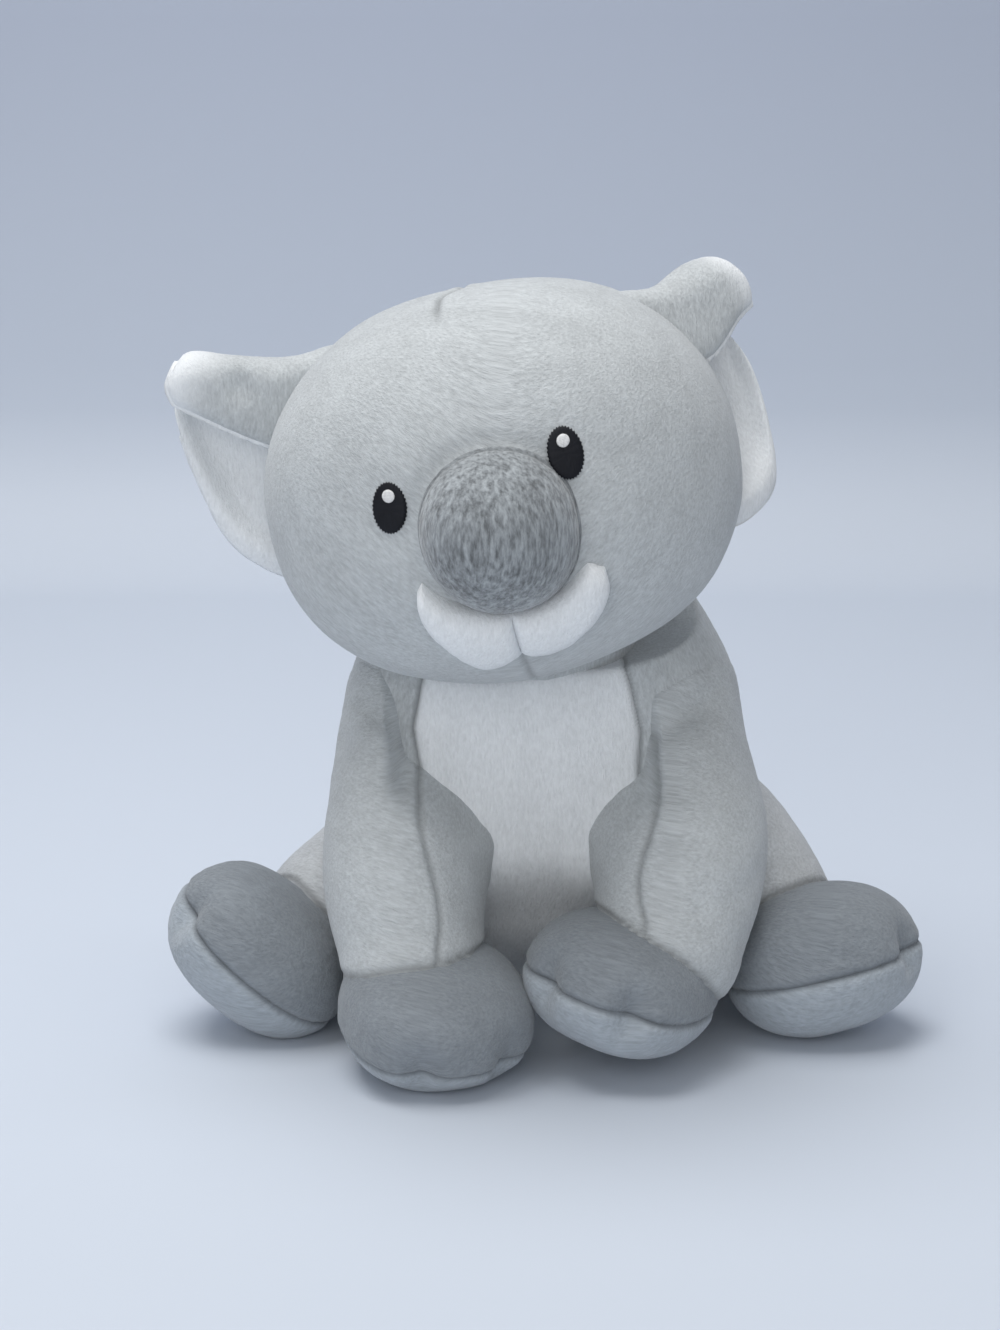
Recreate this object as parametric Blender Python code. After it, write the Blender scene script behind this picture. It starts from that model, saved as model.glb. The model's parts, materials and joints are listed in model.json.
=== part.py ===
"""Seated plush koala with sewn plush skins over stuffing. Metres, +Z up, front towards -Y.

The origin is on the floor under the middle of the body. The toy is posed as it sits:
head leaning to -X, front paws turned inwards, hind feet lying out to both sides.
Left and right are the viewer's, so left is -X.
"""

import math

import bmesh
import bpy
from mathutils import Matrix, Vector

# Cloth, seams and the room that moving parts need
SKIN = 0.0022
SEAM_GAP = 0.0004
FIT_GAP = 0.0004
JOINT_GAP = 0.0004
SWING_GAP = 0.0012
THIGH_GAP = 0.0018
NECK_GAP = 0.0002
LEAST_GAP = 0.0001
OVERRUN = 0.3
FLAT_ANGLE = math.radians(3)

# Facets of each rounded form: around it, and from bottom to top. A hollow has half as many.
HEAD_GRID = (20, 12)
NOSE_GRID = (16, 8)
ROOM_GRID = (16, 10)
BODY_GRID = (18, 10)
DOME_GRID = (12, 8)
BALL_GRID = (16, 8)
SOCKET_GRID = (16, 9)
DISC_GRID = (12, 2)
SPOT_GRID = (8, 1)
PILLOW_GRID = (20, 6)
LIMB_GRID = (12, 4)
HOLLOW_SLACK = 0.0035

# Head: half sizes to the side, front, back, up and down
HEAD_HALVES = (0.0725, 0.0580, 0.0580, 0.0625, 0.0575)
HEAD_FROM_NECK = Vector((-0.0123, -0.0300, 0.0500))
HEAD_POWER = 2.2
HEAD_LEAN = math.radians(12)
HEAD_TURN = math.radians(4)
SIDE_SEAM_DEPTH = 0.0080

# Neck: a dome on the body turns inside a socket in the head
NECK_PIVOT = Vector((0.0, 0.0080, 0.1250))
NECK_RADIUS = 0.0380
NECK_PLUG_RADIUS = 0.0210
NECK_PLUG_DEPTH = 0.0160
NECK_TILT = (0, 15)
NECK_SWING = (-10, 10)
NECK_CLEARANCE = 0.0030
POSES = 3
HALVINGS = 20

# Nose, chin and eyes, placed on the face from the head's middle
NOSE_HALVES = (0.0240, 0.0290, 0.0290, 0.0245, 0.0250)
NOSE_PLACE = (0.0020, -0.0020)
NOSE_DEPTH = 0.0480
NOSE_POWER = 2.05
CHIN_HALVES = (0.0190, 0.0110, 0.0110, 0.0190, 0.0190)
CHIN_OUT = 0.0120
CHIN_DROP = 0.0270
CHIN_DEPTH = 0.0445
EYE_PLACE = {"left": (-0.0280, 0.0100), "right": (0.0255, 0.0165)}
EYE_LEAN = {"left": math.radians(-12), "right": math.radians(3)}
EYE_HALF_WIDTH = 0.0052
EYE_HALF_HEIGHT = 0.0080
EYE_PILE = 0.0009
HIGHLIGHT_RADIUS = 0.0019
HIGHLIGHT_RISE = 0.0034
HIGHLIGHT_PILE = 0.0005

# Ears: two plush layers, the upper edge folded down over the front
EAR_LAYER = 0.0028
EAR_BEND_RADIUS = 0.0046
EAR_DEPTH = 0.0080
EAR_CREST = ((0.0440, 0.0530), (0.0580, 0.0545), (0.0740, 0.0600), (0.0925, 0.0610))
EAR_EDGE = ((0.0730, -0.0080), (0.0860, 0.0020), (0.0925, 0.0240), (0.0950, 0.0480))
EAR_FLAP = {"left": (0.0330, 0.0280, 0.0210, 0.0090), "right": (0.0240, 0.0170, 0.0120, 0.0080)}
EAR_ROOT_LENGTH = 0.0160
EAR_TURN = {"left": math.radians(0), "right": math.radians(42)}
EAR_DROP = {"left": 0.0, "right": 0.0120}
EAR_FLOP = (-12, 12)
EAR_RISE_STEPS = 4
EAR_BEND_STEPS = 5
EAR_FLAP_STEPS = 3

# Body: half sizes to the side, front, back, up and down
BODY_HALVES = (0.0640, 0.0440, 0.0460, 0.0980, 0.0640)
BODY_CENTRE = Vector((0.0, 0.0180, 0.0600))
BODY_POWER = 2.5
BELLY_SHIFT = -0.0040
BELLY_HALF_TOP = 0.0260
BELLY_HALF_CHEST = 0.0350
BELLY_HALF_WAIST = 0.0365
BELLY_HALF_SEAT = 0.0240
CHEST_HEIGHT = 0.1120
WAIST_HEIGHT = 0.0850
BELLY_BACK = 0.0150

# Arms, from shoulder to wrist
SHOULDER = Vector((0.0455, -0.0030, 0.0880))
SHOULDER_RADIUS = 0.0220
WRIST = {"left": Vector((0.0405, -0.0500, 0.0300)), "right": Vector((0.0380, -0.0480, 0.0365))}
WRIST_RADIUS = 0.0220
ARM_BULGE = {"left": 0.0030, "right": 0.0040}
ARM_RISE = 0.0035
ARM_SWING = (0, 40)
WRIST_FLEX = (-15, 15)

# Front paws: half sizes to the toes, heel, side, up and down
PAW_HALVES = (0.0300, 0.0300, 0.0290, 0.0200, 0.0200)
PAW_CENTRE = {"left": Vector((0.0335, -0.0580, 0.0190)), "right": Vector((0.0252, -0.0545, 0.0258))}
PAW_TURN = {"left": math.radians(22), "right": math.radians(25)}
PAW_PITCH = {"left": math.radians(-8), "right": math.radians(9)}
PAW_ROLL = {"left": 0.0, "right": math.radians(-13)}
PAW_SEAM = {"left": -0.0070, "right": -0.0010}
PAW_POWER = 2.3

# Legs, from hip to ankle
HIP = {"left": Vector((0.0505, 0.0200, 0.0275)), "right": Vector((0.0520, 0.0200, 0.0330))}
HIP_RADIUS = {"left": 0.0300, "right": 0.0345}
ANKLE = {"left": Vector((0.0800, -0.0080, 0.0270)), "right": Vector((0.0820, -0.0080, 0.0270))}
ANKLE_RADIUS = 0.0160
LEG_BULGE = {"left": 0.0010, "right": 0.0040}
LEG_RISE = {"left": 0.0015, "right": 0.0080}
HIP_SPLAY = (0, 25)
ANKLE_FLEX = (-12, 12)

# Hind feet: half sizes to the toes, heel, side, up and down
FOOT_HALVES = (0.0325, 0.0325, 0.0255, 0.0225, 0.0220)
FOOT_CENTRE = {"left": Vector((0.0905, -0.0230, 0.0268)), "right": Vector((0.0875, -0.0250, 0.0228))}
FOOT_PITCH = {"left": math.radians(42), "right": math.radians(14)}
FOOT_ROLL = {"left": math.radians(9), "right": math.radians(-6)}
FOOT_POWER = 2.3

# Toe notches in paws and feet
TOE_NOTCH_SHARE = 0.13
TOE_ANGLE = math.radians(30)
TOE_WIDTH = math.radians(13)

# Colours of the plush
HEAD_GREY = (0.50, 0.53, 0.53)
PAW_GREY = (0.25, 0.28, 0.31)
NOSE_GREY = (0.26, 0.28, 0.30)
SOLE_GREY = (0.38, 0.41, 0.44)
WHITE = (0.80, 0.81, 0.81)
LEG_WHITE = (0.66, 0.67, 0.66)
BLACK = (0.012, 0.013, 0.018)
STUFFING = (0.88, 0.88, 0.86)

SIDES = {"left": -1, "right": 1}


def clear_scene():
    for item in list(bpy.data.objects):
        bpy.data.objects.remove(item, do_unlink=True)


def plush(name, colour, roughness=0.9):
    """A matt cloth material."""
    material = bpy.data.materials.get(name)
    if material is None:
        material = bpy.data.materials.new(name)
        material.use_nodes = True
        shader = material.node_tree.nodes["Principled BSDF"]
        shader.inputs["Base Color"].default_value = (*colour, 1)
        shader.inputs["Roughness"].default_value = roughness
        shader.inputs["Metallic"].default_value = 0
    return material


def solid(name, points, faces):
    """A mesh object with its faces turned out."""
    mesh = bpy.data.meshes.new(name)
    mesh.from_pydata(points, [], faces)
    work = bmesh.new()
    work.from_mesh(mesh)
    bmesh.ops.recalc_face_normals(work, faces=work.faces)
    if work.calc_volume(signed=True) < 0:
        bmesh.ops.reverse_faces(work, faces=work.faces)
    work.to_mesh(mesh)
    work.free()
    item = bpy.data.objects.new(name, mesh)
    bpy.context.scene.collection.objects.link(item)
    return item


def lofted(name, rings, start, end):
    """A closed solid over rings of equal count, ending in a point at each end."""
    count = len(rings[0])
    points = [start] + [point for ring in rings for point in ring] + [end]
    faces = []
    for i in range(count):
        j = (i + 1) % count
        faces.append((0, 1 + j, 1 + i))
        for row in range(len(rings) - 1):
            low = 1 + row * count
            high = low + count
            faces.append((low + i, low + j, high + j))
            faces.append((low + i, high + j, high + i))
        last = 1 + (len(rings) - 1) * count
        faces.append((last + i, last + j, len(points) - 1))
    return solid(name, points, faces)


def sheet_solid(name, rows):
    """A closed solid whose rows are each a closed loop of points, with flat ends."""
    count = len(rows[0])
    points = [point for row in rows for point in row]
    faces = [tuple(range(count)), tuple(reversed(range(len(points) - count, len(points))))]
    for row in range(len(rows) - 1):
        low = row * count
        high = low + count
        for i in range(count):
            j = (i + 1) % count
            faces.append((low + i, high + i, high + j, low + j))
    return solid(name, points, faces)


def box(name, low, high, place=None):
    """A block between two corners."""
    across, deep, tall = zip(low, high)
    corners = [Vector((x, y, z)) for x in across for y in deep for z in tall]
    if place is not None:
        corners = [place @ corner for corner in corners]
    faces = [(0, 1, 3, 2), (4, 6, 7, 5), (0, 4, 5, 1), (2, 3, 7, 6), (0, 2, 6, 4), (1, 5, 7, 3)]
    return solid(name, corners, faces)


def power_of(value, power):
    return math.copysign(abs(value) ** power, value)


def blob_point(halves, power, around, rise):
    """A point of a rounded form with its own half size in each direction."""
    side, front, back, up, down = halves
    flat = power_of(math.cos(rise), 2 / power)
    x = side * flat * power_of(math.cos(around), 2 / power)
    y = flat * power_of(math.sin(around), 2 / power)
    z = power_of(math.sin(rise), 2 / power)
    return Vector((x, y * (back if y > 0 else front), z * (up if z > 0 else down)))


def shrunk(halves, amount):
    return tuple(half - amount for half in halves)


def blob(name, halves, power, place, grid):
    """A rounded form laid out in rings from its lowest to its highest point."""
    sides, rings = grid
    rows = []
    for ring in range(1, rings):
        rise = math.pi * (ring / rings - 1 / 2)
        turn = [2 * math.pi * i / sides for i in range(sides)]
        rows.append([place @ blob_point(halves, power, around, rise) for around in turn])
    start = place @ Vector((0, 0, -halves[4]))
    end = place @ Vector((0, 0, halves[3]))
    return lofted(name, rows, start, end)


def ball(name, centre, radius, grid=BALL_GRID):
    """A sphere whose flat faces lie outside the radius given, so that it clears a true ball."""
    sides, rings = grid
    outside = radius / (math.cos(math.pi / sides) * math.cos(math.pi / 2 / rings))
    return blob(name, (outside,) * 5, 2, Matrix.Translation(centre), grid)


def halved(grid):
    sides, rings = grid
    return sides // 2, rings // 2


def along(direction, hint):
    """A frame whose X runs along the direction and whose Z is nearest to the hint."""
    first = direction.normalized()
    second = hint.cross(first).normalized()
    third = first.cross(second)
    return Matrix((first, second, third)).transposed().to_4x4()


def limb_frame(start, end):
    return Matrix.Translation(start) @ along(end - start, Vector((0, 0, 1)))


def ringed(name, frame, profile, sides):
    """A solid about the frame's X axis from (reach, half width, lift, half height) at each ring."""
    rows = []
    for reach, width, lift, height in profile[1:-1]:
        turns = [2 * math.pi * i / sides for i in range(sides)]
        ring = [Vector((reach, width * math.cos(a), lift + height * math.sin(a))) for a in turns]
        rows.append([frame @ place for place in ring])
    ends = [frame @ Vector((profile[i][0], 0, 0)) for i in (0, -1)]
    return lofted(name, rows, *ends)


def limb(name, start, end, radii, bulge, rise, grid):
    """A stuffed tube between two pivots with a round dome about each."""
    length = (end - start).length
    sides, rings = grid
    quarter = [math.pi / 2 * i / rings for i in range(rings)]
    profile = []
    for angle in quarter:
        radius = radii[0] * math.sin(angle)
        profile.append((-radii[0] * math.cos(angle), radius, 0, radius))
    for i in range(rings + 1):
        share = i / rings
        swell = math.sin(math.pi * share)
        radius = radii[0] + (radii[1] - radii[0]) * share + bulge * swell
        profile.append((length * share, radius, rise * swell, radius))
    for angle in quarter[:0:-1]:
        radius = radii[1] * math.sin(angle)
        profile.append((length + radii[1] * math.cos(angle), radius, 0, radius))
    profile.append((length + radii[1], 0, 0, 0))
    return ringed(name, limb_frame(start, end), profile, sides)


def limb_ball(start, end, radius, grid):
    """A ball with the same facets as the dome at a limb's start."""
    sides, rings = grid
    turns = [math.pi * i / (2 * rings) for i in range(2 * rings + 1)]
    profile = [(-radius * math.cos(a), radius * math.sin(a), 0, radius * math.sin(a)) for a in turns]
    return ringed("ball", limb_frame(start, end), profile, sides)


def toed(name, halves, power, place, grid):
    """A pillow pointing along X with two notches between three toes."""
    sides, rings = grid
    rows = []
    for ring in range(1, rings):
        rise = math.pi * (ring / rings - 1 / 2)
        row = []
        for i in range(sides):
            around = 2 * math.pi * i / sides
            toe, heel, side, up, down = halves
            flat = power_of(math.cos(rise), 2 / power)
            lengthwise = power_of(math.cos(around), 2 / power)
            x = flat * lengthwise * (toe if lengthwise > 0 else heel)
            y = flat * side * power_of(math.sin(around), 2 / power)
            z = power_of(math.sin(rise), 2 / power)
            signed = math.remainder(around, 2 * math.pi)
            offsets = (signed - TOE_ANGLE, signed + TOE_ANGLE)
            pinch = sum(math.exp(-((offset / TOE_WIDTH) ** 2)) for offset in offsets)
            narrow = 1 - TOE_NOTCH_SHARE * pinch * math.cos(rise)
            row.append(place @ Vector((x * narrow, y * narrow, z * (up if z > 0 else down))))
        rows.append(row)
    return lofted(name, rows, place @ Vector((0, 0, -halves[4])), place @ Vector((0, 0, halves[3])))


def is_closed(item):
    work = bmesh.new()
    work.from_mesh(item.data)
    whole = len(work.faces) > 0 and all(edge.is_manifold for edge in work.edges)
    work.free()
    return whole


def combine(target, tool, operation="DIFFERENCE", solvers=("EXACT", "MANIFOLD")):
    """Applies one Boolean and drops the tool. The second solver is for cuts the first leaves open."""
    before = target.data.copy()
    bpy.context.view_layer.objects.active = target
    for solver in solvers:
        change = target.modifiers.new("combine", "BOOLEAN")
        change.operation = operation
        change.object = tool
        change.solver = solver
        bpy.ops.object.modifier_apply(modifier=change.name)
        if is_closed(target):
            break
        if solver != solvers[-1]:
            target.data = before.copy()
    bpy.data.objects.remove(tool, do_unlink=True)
    return target


def copied(item, name):
    copy = item.copy()
    copy.data = item.data.copy()
    copy.name = name
    bpy.context.scene.collection.objects.link(copy)
    return copy


def connected(start):
    """The points that share a surface with this one."""
    group = {start}
    queue = [start]
    while queue:
        for edge in queue.pop().link_edges:
            for other in edge.verts:
                if other not in group:
                    group.add(other)
                    queue.append(other)
    return group


def largest_body(item):
    """Drops the offcuts that a trim leaves beside the main body, and merges nearly flat faces."""
    work = bmesh.new()
    work.from_mesh(item.data)
    groups = []
    unseen = set(work.verts)
    while unseen:
        group = connected(next(iter(unseen)))
        unseen -= group
        groups.append(group)
    main = max(groups, key=spread)
    loose = [point for group in groups if group is not main for point in group]
    bmesh.ops.delete(work, geom=loose, context="VERTS")
    bmesh.ops.dissolve_limit(work, angle_limit=FLAT_ANGLE, verts=work.verts, edges=work.edges)
    bmesh.ops.triangulate(work, faces=work.faces)
    work.to_mesh(item.data)
    work.free()


def spread(points):
    """The diagonal of the box about some points."""
    places = [point.co for point in points]
    return sum(max(place[i] for place in places) - min(place[i] for place in places) for i in range(3))


def finished(item, name, material, origin):
    """Names the piece, shades it smooth and puts its origin on what it turns about."""
    largest_body(item)
    item.name = name
    item.data.name = name
    item.data.materials.clear()
    item.data.materials.append(material)
    item.data.transform(Matrix.Translation(-origin))
    item.location = origin
    item.data.shade_smooth()
    item.data.set_sharp_from_angle(angle=math.radians(40))
    return item


def turned_about(pivot, axis, degrees):
    turn = Matrix.Rotation(math.radians(degrees), 4, axis)
    return Matrix.Translation(pivot) @ turn @ Matrix.Translation(-pivot)


def trim_swept(item, cutter, pivot, axis, angles):
    """Cuts the item by a neighbour, seen from the item as it turns through the angles."""
    for degrees in angles:
        tool = copied(cutter, "tool")
        tool.data.transform(turned_about(pivot, axis, -degrees))
        combine(item, tool)
    bpy.data.objects.remove(cutter, do_unlink=True)


def turning_room(limb_in, pivot, radius, axis, limits):
    """The convex room that a limb and its round end take up in a piece that turns on that end."""
    end = ball("end", pivot, radius)
    points = [point.co.copy() for point in end.data.vertices]
    for degrees in limits:
        turn = turned_about(pivot, axis, degrees)
        points.extend(turn @ point.co for point in limb_in.data.vertices)
    for item in (end, limb_in):
        bpy.data.objects.remove(item, do_unlink=True)
    work = bmesh.new()
    for point in points:
        work.verts.new(point)
    bmesh.ops.convex_hull(work, input=work.verts)
    bmesh.ops.delete(work, geom=[point for point in work.verts if not point.link_faces], context="VERTS")
    work.verts.index_update()
    faces = [[point.index for point in face.verts] for face in work.faces]
    room = solid("room", [point.co.copy() for point in work.verts], faces)
    work.free()
    return room


def steps(limits, count):
    low, high = limits
    return [low + (high - low) * i / (count - 1) for i in range(count)]


def mirrored(point, side):
    return Vector((point.x * SIDES[side], point.y, point.z))


# Head


def head_place():
    lean = Matrix.Rotation(-HEAD_LEAN, 4, "Y")
    turn = Matrix.Rotation(-HEAD_TURN, 4, "Z")
    return Matrix.Translation(NECK_PIVOT + HEAD_FROM_NECK) @ lean @ turn


def head_form(shrink, grid=HEAD_GRID):
    return blob("head", shrunk(HEAD_HALVES, shrink), HEAD_POWER, head_place(), grid)


def face_depth(x, z):
    """How far in front of the head's middle the face lies at a place on it."""
    side, front, _, up, down = HEAD_HALVES
    height = up if z > 0 else down
    rest = 1 - abs(x / side) ** HEAD_POWER - abs(z / height) ** HEAD_POWER
    return front * rest ** (1 / HEAD_POWER)


def neck_socket(extra=0.0):
    return ball("neck", NECK_PIVOT, NECK_RADIUS + NECK_GAP + extra, SOCKET_GRID)


def nose_form(shrink, grid=NOSE_GRID):
    across, rise = NOSE_PLACE
    place = head_place() @ Matrix.Translation((across, -NOSE_DEPTH, rise))
    return blob("nose", shrunk(NOSE_HALVES, shrink), NOSE_POWER, place, grid)


def build_head():
    skin = head_form(0)
    combine(skin, head_form(SKIN, halved(HEAD_GRID)))
    combine(skin, neck_socket())
    place = head_place()
    half_gap = SEAM_GAP / 2
    low = (-OVERRUN, -OVERRUN, -OVERRUN)
    front = box("front", low, (OVERRUN, SIDE_SEAM_DEPTH - half_gap, OVERRUN), place)
    face = combine(copied(skin, "face"), front, "INTERSECT")
    finished(face, "face_panel", plush("head_grey", HEAD_GREY), NECK_PIVOT)
    for side, sign in SIDES.items():
        edges = sorted((sign * half_gap, sign * OVERRUN))
        low = (edges[0], SIDE_SEAM_DEPTH + half_gap, -OVERRUN)
        high = (edges[1], OVERRUN, OVERRUN)
        back = combine(copied(skin, "back"), box("back", low, high, place), "INTERSECT")
        finished(back, "back_head_panel_" + side, plush("head_grey", HEAD_GREY), NECK_PIVOT)
    bpy.data.objects.remove(skin, do_unlink=True)
    filling = combine(head_form(SKIN + FIT_GAP, halved(HEAD_GRID)), neck_socket(FIT_GAP))
    finished(filling, "head_filling", plush("stuffing", STUFFING), NECK_PIVOT)


def build_nose():
    skin = nose_form(0)
    combine(skin, nose_form(SKIN, halved(NOSE_GRID)))
    combine(skin, head_form(-FIT_GAP))
    finished(skin, "nose_panel", plush("nose_grey", NOSE_GREY), NECK_PIVOT)
    filling = combine(nose_form(SKIN + FIT_GAP, halved(NOSE_GRID)), head_form(-FIT_GAP))
    finished(filling, "nose_filling", plush("stuffing", STUFFING), NECK_PIVOT)


def build_chin():
    for side, sign in SIDES.items():
        place = head_place() @ Matrix.Translation((sign * CHIN_OUT, -CHIN_DEPTH, -CHIN_DROP))
        patch = blob("chin", CHIN_HALVES, 2, place, halved(HEAD_GRID))
        combine(patch, head_form(-FIT_GAP))
        combine(patch, nose_form(-FIT_GAP))
        edges = sorted((sign * SEAM_GAP / 2, sign * OVERRUN))
        half = box("half", (edges[0], -OVERRUN, -OVERRUN), (edges[1], OVERRUN, OVERRUN), head_place())
        combine(patch, half, "INTERSECT")
        finished(patch, "chin_patch_" + side, plush("white", WHITE), NECK_PIVOT)


def face_disc(name, centre, halves, lean, lift, pile, grid):
    """A flat oval patch of stitches that follows the face."""
    out, rise = centre
    half_width, half_height = halves
    sides, rings = grid
    place = head_place()
    layers = []
    for depth in (lift, lift + pile):
        rows = []
        for ring in range(rings):
            share = (ring + 1) / rings
            row = []
            for i in range(sides):
                around = 2 * math.pi * i / sides
                across = half_width * share * math.cos(around)
                upward = half_height * share * math.sin(around)
                x = out + across * math.cos(lean) - upward * math.sin(lean)
                z = rise + across * math.sin(lean) + upward * math.cos(lean)
                row.append(place @ Vector((x, -face_depth(x, z) - depth, z)))
            rows.append(row)
        middle = place @ Vector((out, -face_depth(out, rise) - depth, rise))
        layers.append((rows, middle))
    (low_rows, low_middle), (high_rows, high_middle) = layers
    return lofted(name, low_rows + high_rows[::-1], low_middle, high_middle)


def build_eyes():
    for side, (out, rise) in EYE_PLACE.items():
        lean = EYE_LEAN[side]
        halves = (EYE_HALF_WIDTH, EYE_HALF_HEIGHT)
        eye = face_disc("eye", (out, rise), halves, lean, FIT_GAP, EYE_PILE, DISC_GRID)
        finished(eye, "eye_" + side, plush("eye_black", BLACK, 0.45), NECK_PIVOT)
        lift = FIT_GAP + EYE_PILE + SEAM_GAP
        spot = (out - HIGHLIGHT_RISE * math.sin(lean), rise + HIGHLIGHT_RISE * math.cos(lean))
        halves = (HIGHLIGHT_RADIUS, HIGHLIGHT_RADIUS)
        glint = face_disc("glint", spot, halves, lean, lift, HIGHLIGHT_PILE, SPOT_GRID)
        finished(glint, "eye_highlight_" + side, plush("thread_white", WHITE, 0.5), NECK_PIVOT)


# Ears


def ear_row(crest, edge, flap):
    """The middle line of one slice of an ear, from its lower edge over the crest to the flap."""
    up = (crest - edge).normalized()
    line = []
    straight = (crest - edge).length - EAR_BEND_RADIUS
    for i in range(EAR_RISE_STEPS + 1):
        line.append((edge + up * straight * i / EAR_RISE_STEPS, 0.0, 0.0))
    for i in range(1, EAR_BEND_STEPS + 1):
        angle = math.pi * i / EAR_BEND_STEPS
        rise = straight + EAR_BEND_RADIUS * math.sin(angle)
        line.append((edge + up * rise, EAR_BEND_RADIUS * (1 - math.cos(angle)), angle))
    for i in range(1, EAR_FLAP_STEPS + 1):
        line.append((edge + up * (straight - flap * i / EAR_FLAP_STEPS), 2 * EAR_BEND_RADIUS, math.pi))
    return up, line


def ear_axis(side):
    """The pivot and the direction of the seam that an ear flops about."""
    sign = SIDES[side]
    top = Vector((sign * EAR_CREST[0][0], EAR_DEPTH, EAR_CREST[0][1] - EAR_DROP[side]))
    low = Vector((sign * EAR_EDGE[0][0], EAR_DEPTH, EAR_EDGE[0][1] - EAR_DROP[side]))
    place = head_place()
    return place @ ((top + low) / 2), (place.to_3x3() @ (top - low)).normalized()


def build_ear(side):
    sign = SIDES[side]
    place = head_place()
    pivot, axis = ear_axis(side)
    back_turn = turned_about(pivot, axis, math.degrees(sign * EAR_TURN[side]))
    drop = Vector((0, -EAR_DROP[side]))
    crests = [Vector(point) + drop for point in EAR_CREST]
    edges = [Vector(point) + drop for point in EAR_EDGE]
    inward = (crests[0] - crests[1]).normalized() * EAR_ROOT_LENGTH
    flaps = EAR_FLAP[side]
    slices = [(crests[0] + inward, edges[0] + inward, flaps[0])] + list(zip(crests, edges, flaps))
    layers = {"outer": [], "inner": []}
    for crest, edge, flap in slices:
        up, line = ear_row(crest, edge, flap)
        for layer, near, far in (
            ("outer", SEAM_GAP / 2, EAR_LAYER),
            ("inner", -SEAM_GAP / 2, -EAR_LAYER),
        ):
            walls = []
            for offset in (near, far):
                wall = []
                for spot, forward, angle in line:
                    shift = spot + up * offset * math.sin(angle)
                    depth = EAR_DEPTH - forward + offset * math.cos(angle)
                    wall.append(back_turn @ place @ Vector((sign * shift.x, depth, shift.y)))
                walls.append(wall)
            layers[layer].append(walls[0] + walls[1][::-1])
    colours = {"outer": plush("head_grey", HEAD_GREY), "inner": plush("white", WHITE)}
    for layer, rows in layers.items():
        piece = sheet_solid("ear", rows)
        trim_swept(piece, head_form(-JOINT_GAP), pivot, axis, steps(EAR_FLOP, POSES))
        finished(piece, f"ear_{layer}_{side}", colours[layer], pivot)


# Neck and body


def head_reach(centre, direction):
    """The furthest that the head reaches from a point inside it, in all its poses."""
    middle = head_place().translation
    back = head_place().to_3x3().inverted()
    side, front, rear, up, down = HEAD_HALVES
    best = 0.0
    for tilt in steps(NECK_TILT, POSES):
        for swing in steps(NECK_SWING, POSES):
            undo = turned_about(NECK_PIVOT, Vector((0, 0, 1)), -swing)
            undo = turned_about(NECK_PIVOT, Vector((0, 1, 0)), -tilt) @ undo
            low, high = 0.0, OVERRUN
            for _ in range(HALVINGS):
                reach = (low + high) / 2
                spot = back @ (undo @ (centre + direction * reach) - middle)
                depth = rear if spot.y > 0 else front
                height = up if spot.z > 0 else down
                level = sum(abs(a / b) ** HEAD_POWER for a, b in zip(spot, (side, depth, height)))
                low, high = (reach, high) if level < 1 else (low, reach)
            best = max(best, low)
    return best


def head_envelope(extra):
    """All the room that the head needs beside the neck dome."""
    sides, rings = ROOM_GRID
    room = NECK_CLEARANCE + extra
    centre = NECK_PIVOT + Vector((0, HEAD_FROM_NECK.y, HEAD_FROM_NECK.z))
    rows = []
    for ring in range(1, rings):
        rise = math.pi * (ring / rings - 1 / 2)
        row = []
        for i in range(sides):
            around = 2 * math.pi * i / sides
            level = math.cos(rise)
            direction = Vector((level * math.cos(around), level * math.sin(around), math.sin(rise)))
            row.append(centre + direction * (head_reach(centre, direction) + room))
        rows.append(row)
    poles = [Vector((0, 0, -1)), Vector((0, 0, 1))]
    whole = lofted("envelope", rows, *[centre + pole * (head_reach(centre, pole) + room) for pole in poles])
    spare = (NECK_RADIUS - extra + LEAST_GAP,) * 5
    return combine(whole, blob("dome", spare, 2, Matrix.Translation(NECK_PIVOT), DOME_GRID))


def body_form(shrink, plain=False, envelope=True):
    """The body with its neck dome, flat where it sits."""
    body_grid, dome_grid = (halved(BODY_GRID), halved(DOME_GRID)) if plain else (BODY_GRID, DOME_GRID)
    form = blob("body", shrunk(BODY_HALVES, shrink), BODY_POWER, Matrix.Translation(BODY_CENTRE), body_grid)
    dome = blob("dome", (NECK_RADIUS - shrink,) * 5, 2, Matrix.Translation(NECK_PIVOT), dome_grid)
    combine(form, dome, "UNION")
    if envelope:
        combine(form, head_envelope(shrink))
    combine(form, box("floor", (-OVERRUN, -OVERRUN, -OVERRUN), (OVERRUN, OVERRUN, shrink)))
    return form


def neck_bore(gap):
    """The round way through the neck dome."""
    low = NECK_PIVOT.z - NECK_PLUG_DEPTH - gap
    sides = DOME_GRID[0]
    radius = (NECK_PLUG_RADIUS + gap) / math.cos(math.pi / sides) if gap else NECK_PLUG_RADIUS
    rows = []
    for height in (low, NECK_PIVOT.z + NECK_RADIUS + OVERRUN):
        turn = [2 * math.pi * i / sides for i in range(sides)]
        middle = Vector((NECK_PIVOT.x, NECK_PIVOT.y, height))
        rows.append([middle + Vector((radius * math.cos(a), radius * math.sin(a), 0)) for a in turn])
    return sheet_solid("bore", rows)


def build_neck():
    plug = blob("plug", (NECK_RADIUS,) * 5, 2, Matrix.Translation(NECK_PIVOT), DOME_GRID)
    combine(plug, neck_bore(0.0), "INTERSECT")
    finished(plug, "neck_filling", plush("stuffing", STUFFING), NECK_PIVOT)


def joint_holes():
    """The sockets that the arms and legs sit in."""
    holes = []
    for side in SIDES:
        holes.append(ball("shoulder", mirrored(SHOULDER, side), SHOULDER_RADIUS + JOINT_GAP))
        holes.append(ball("hip", mirrored(HIP[side], side), HIP_RADIUS[side] + JOINT_GAP))
    return holes


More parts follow.
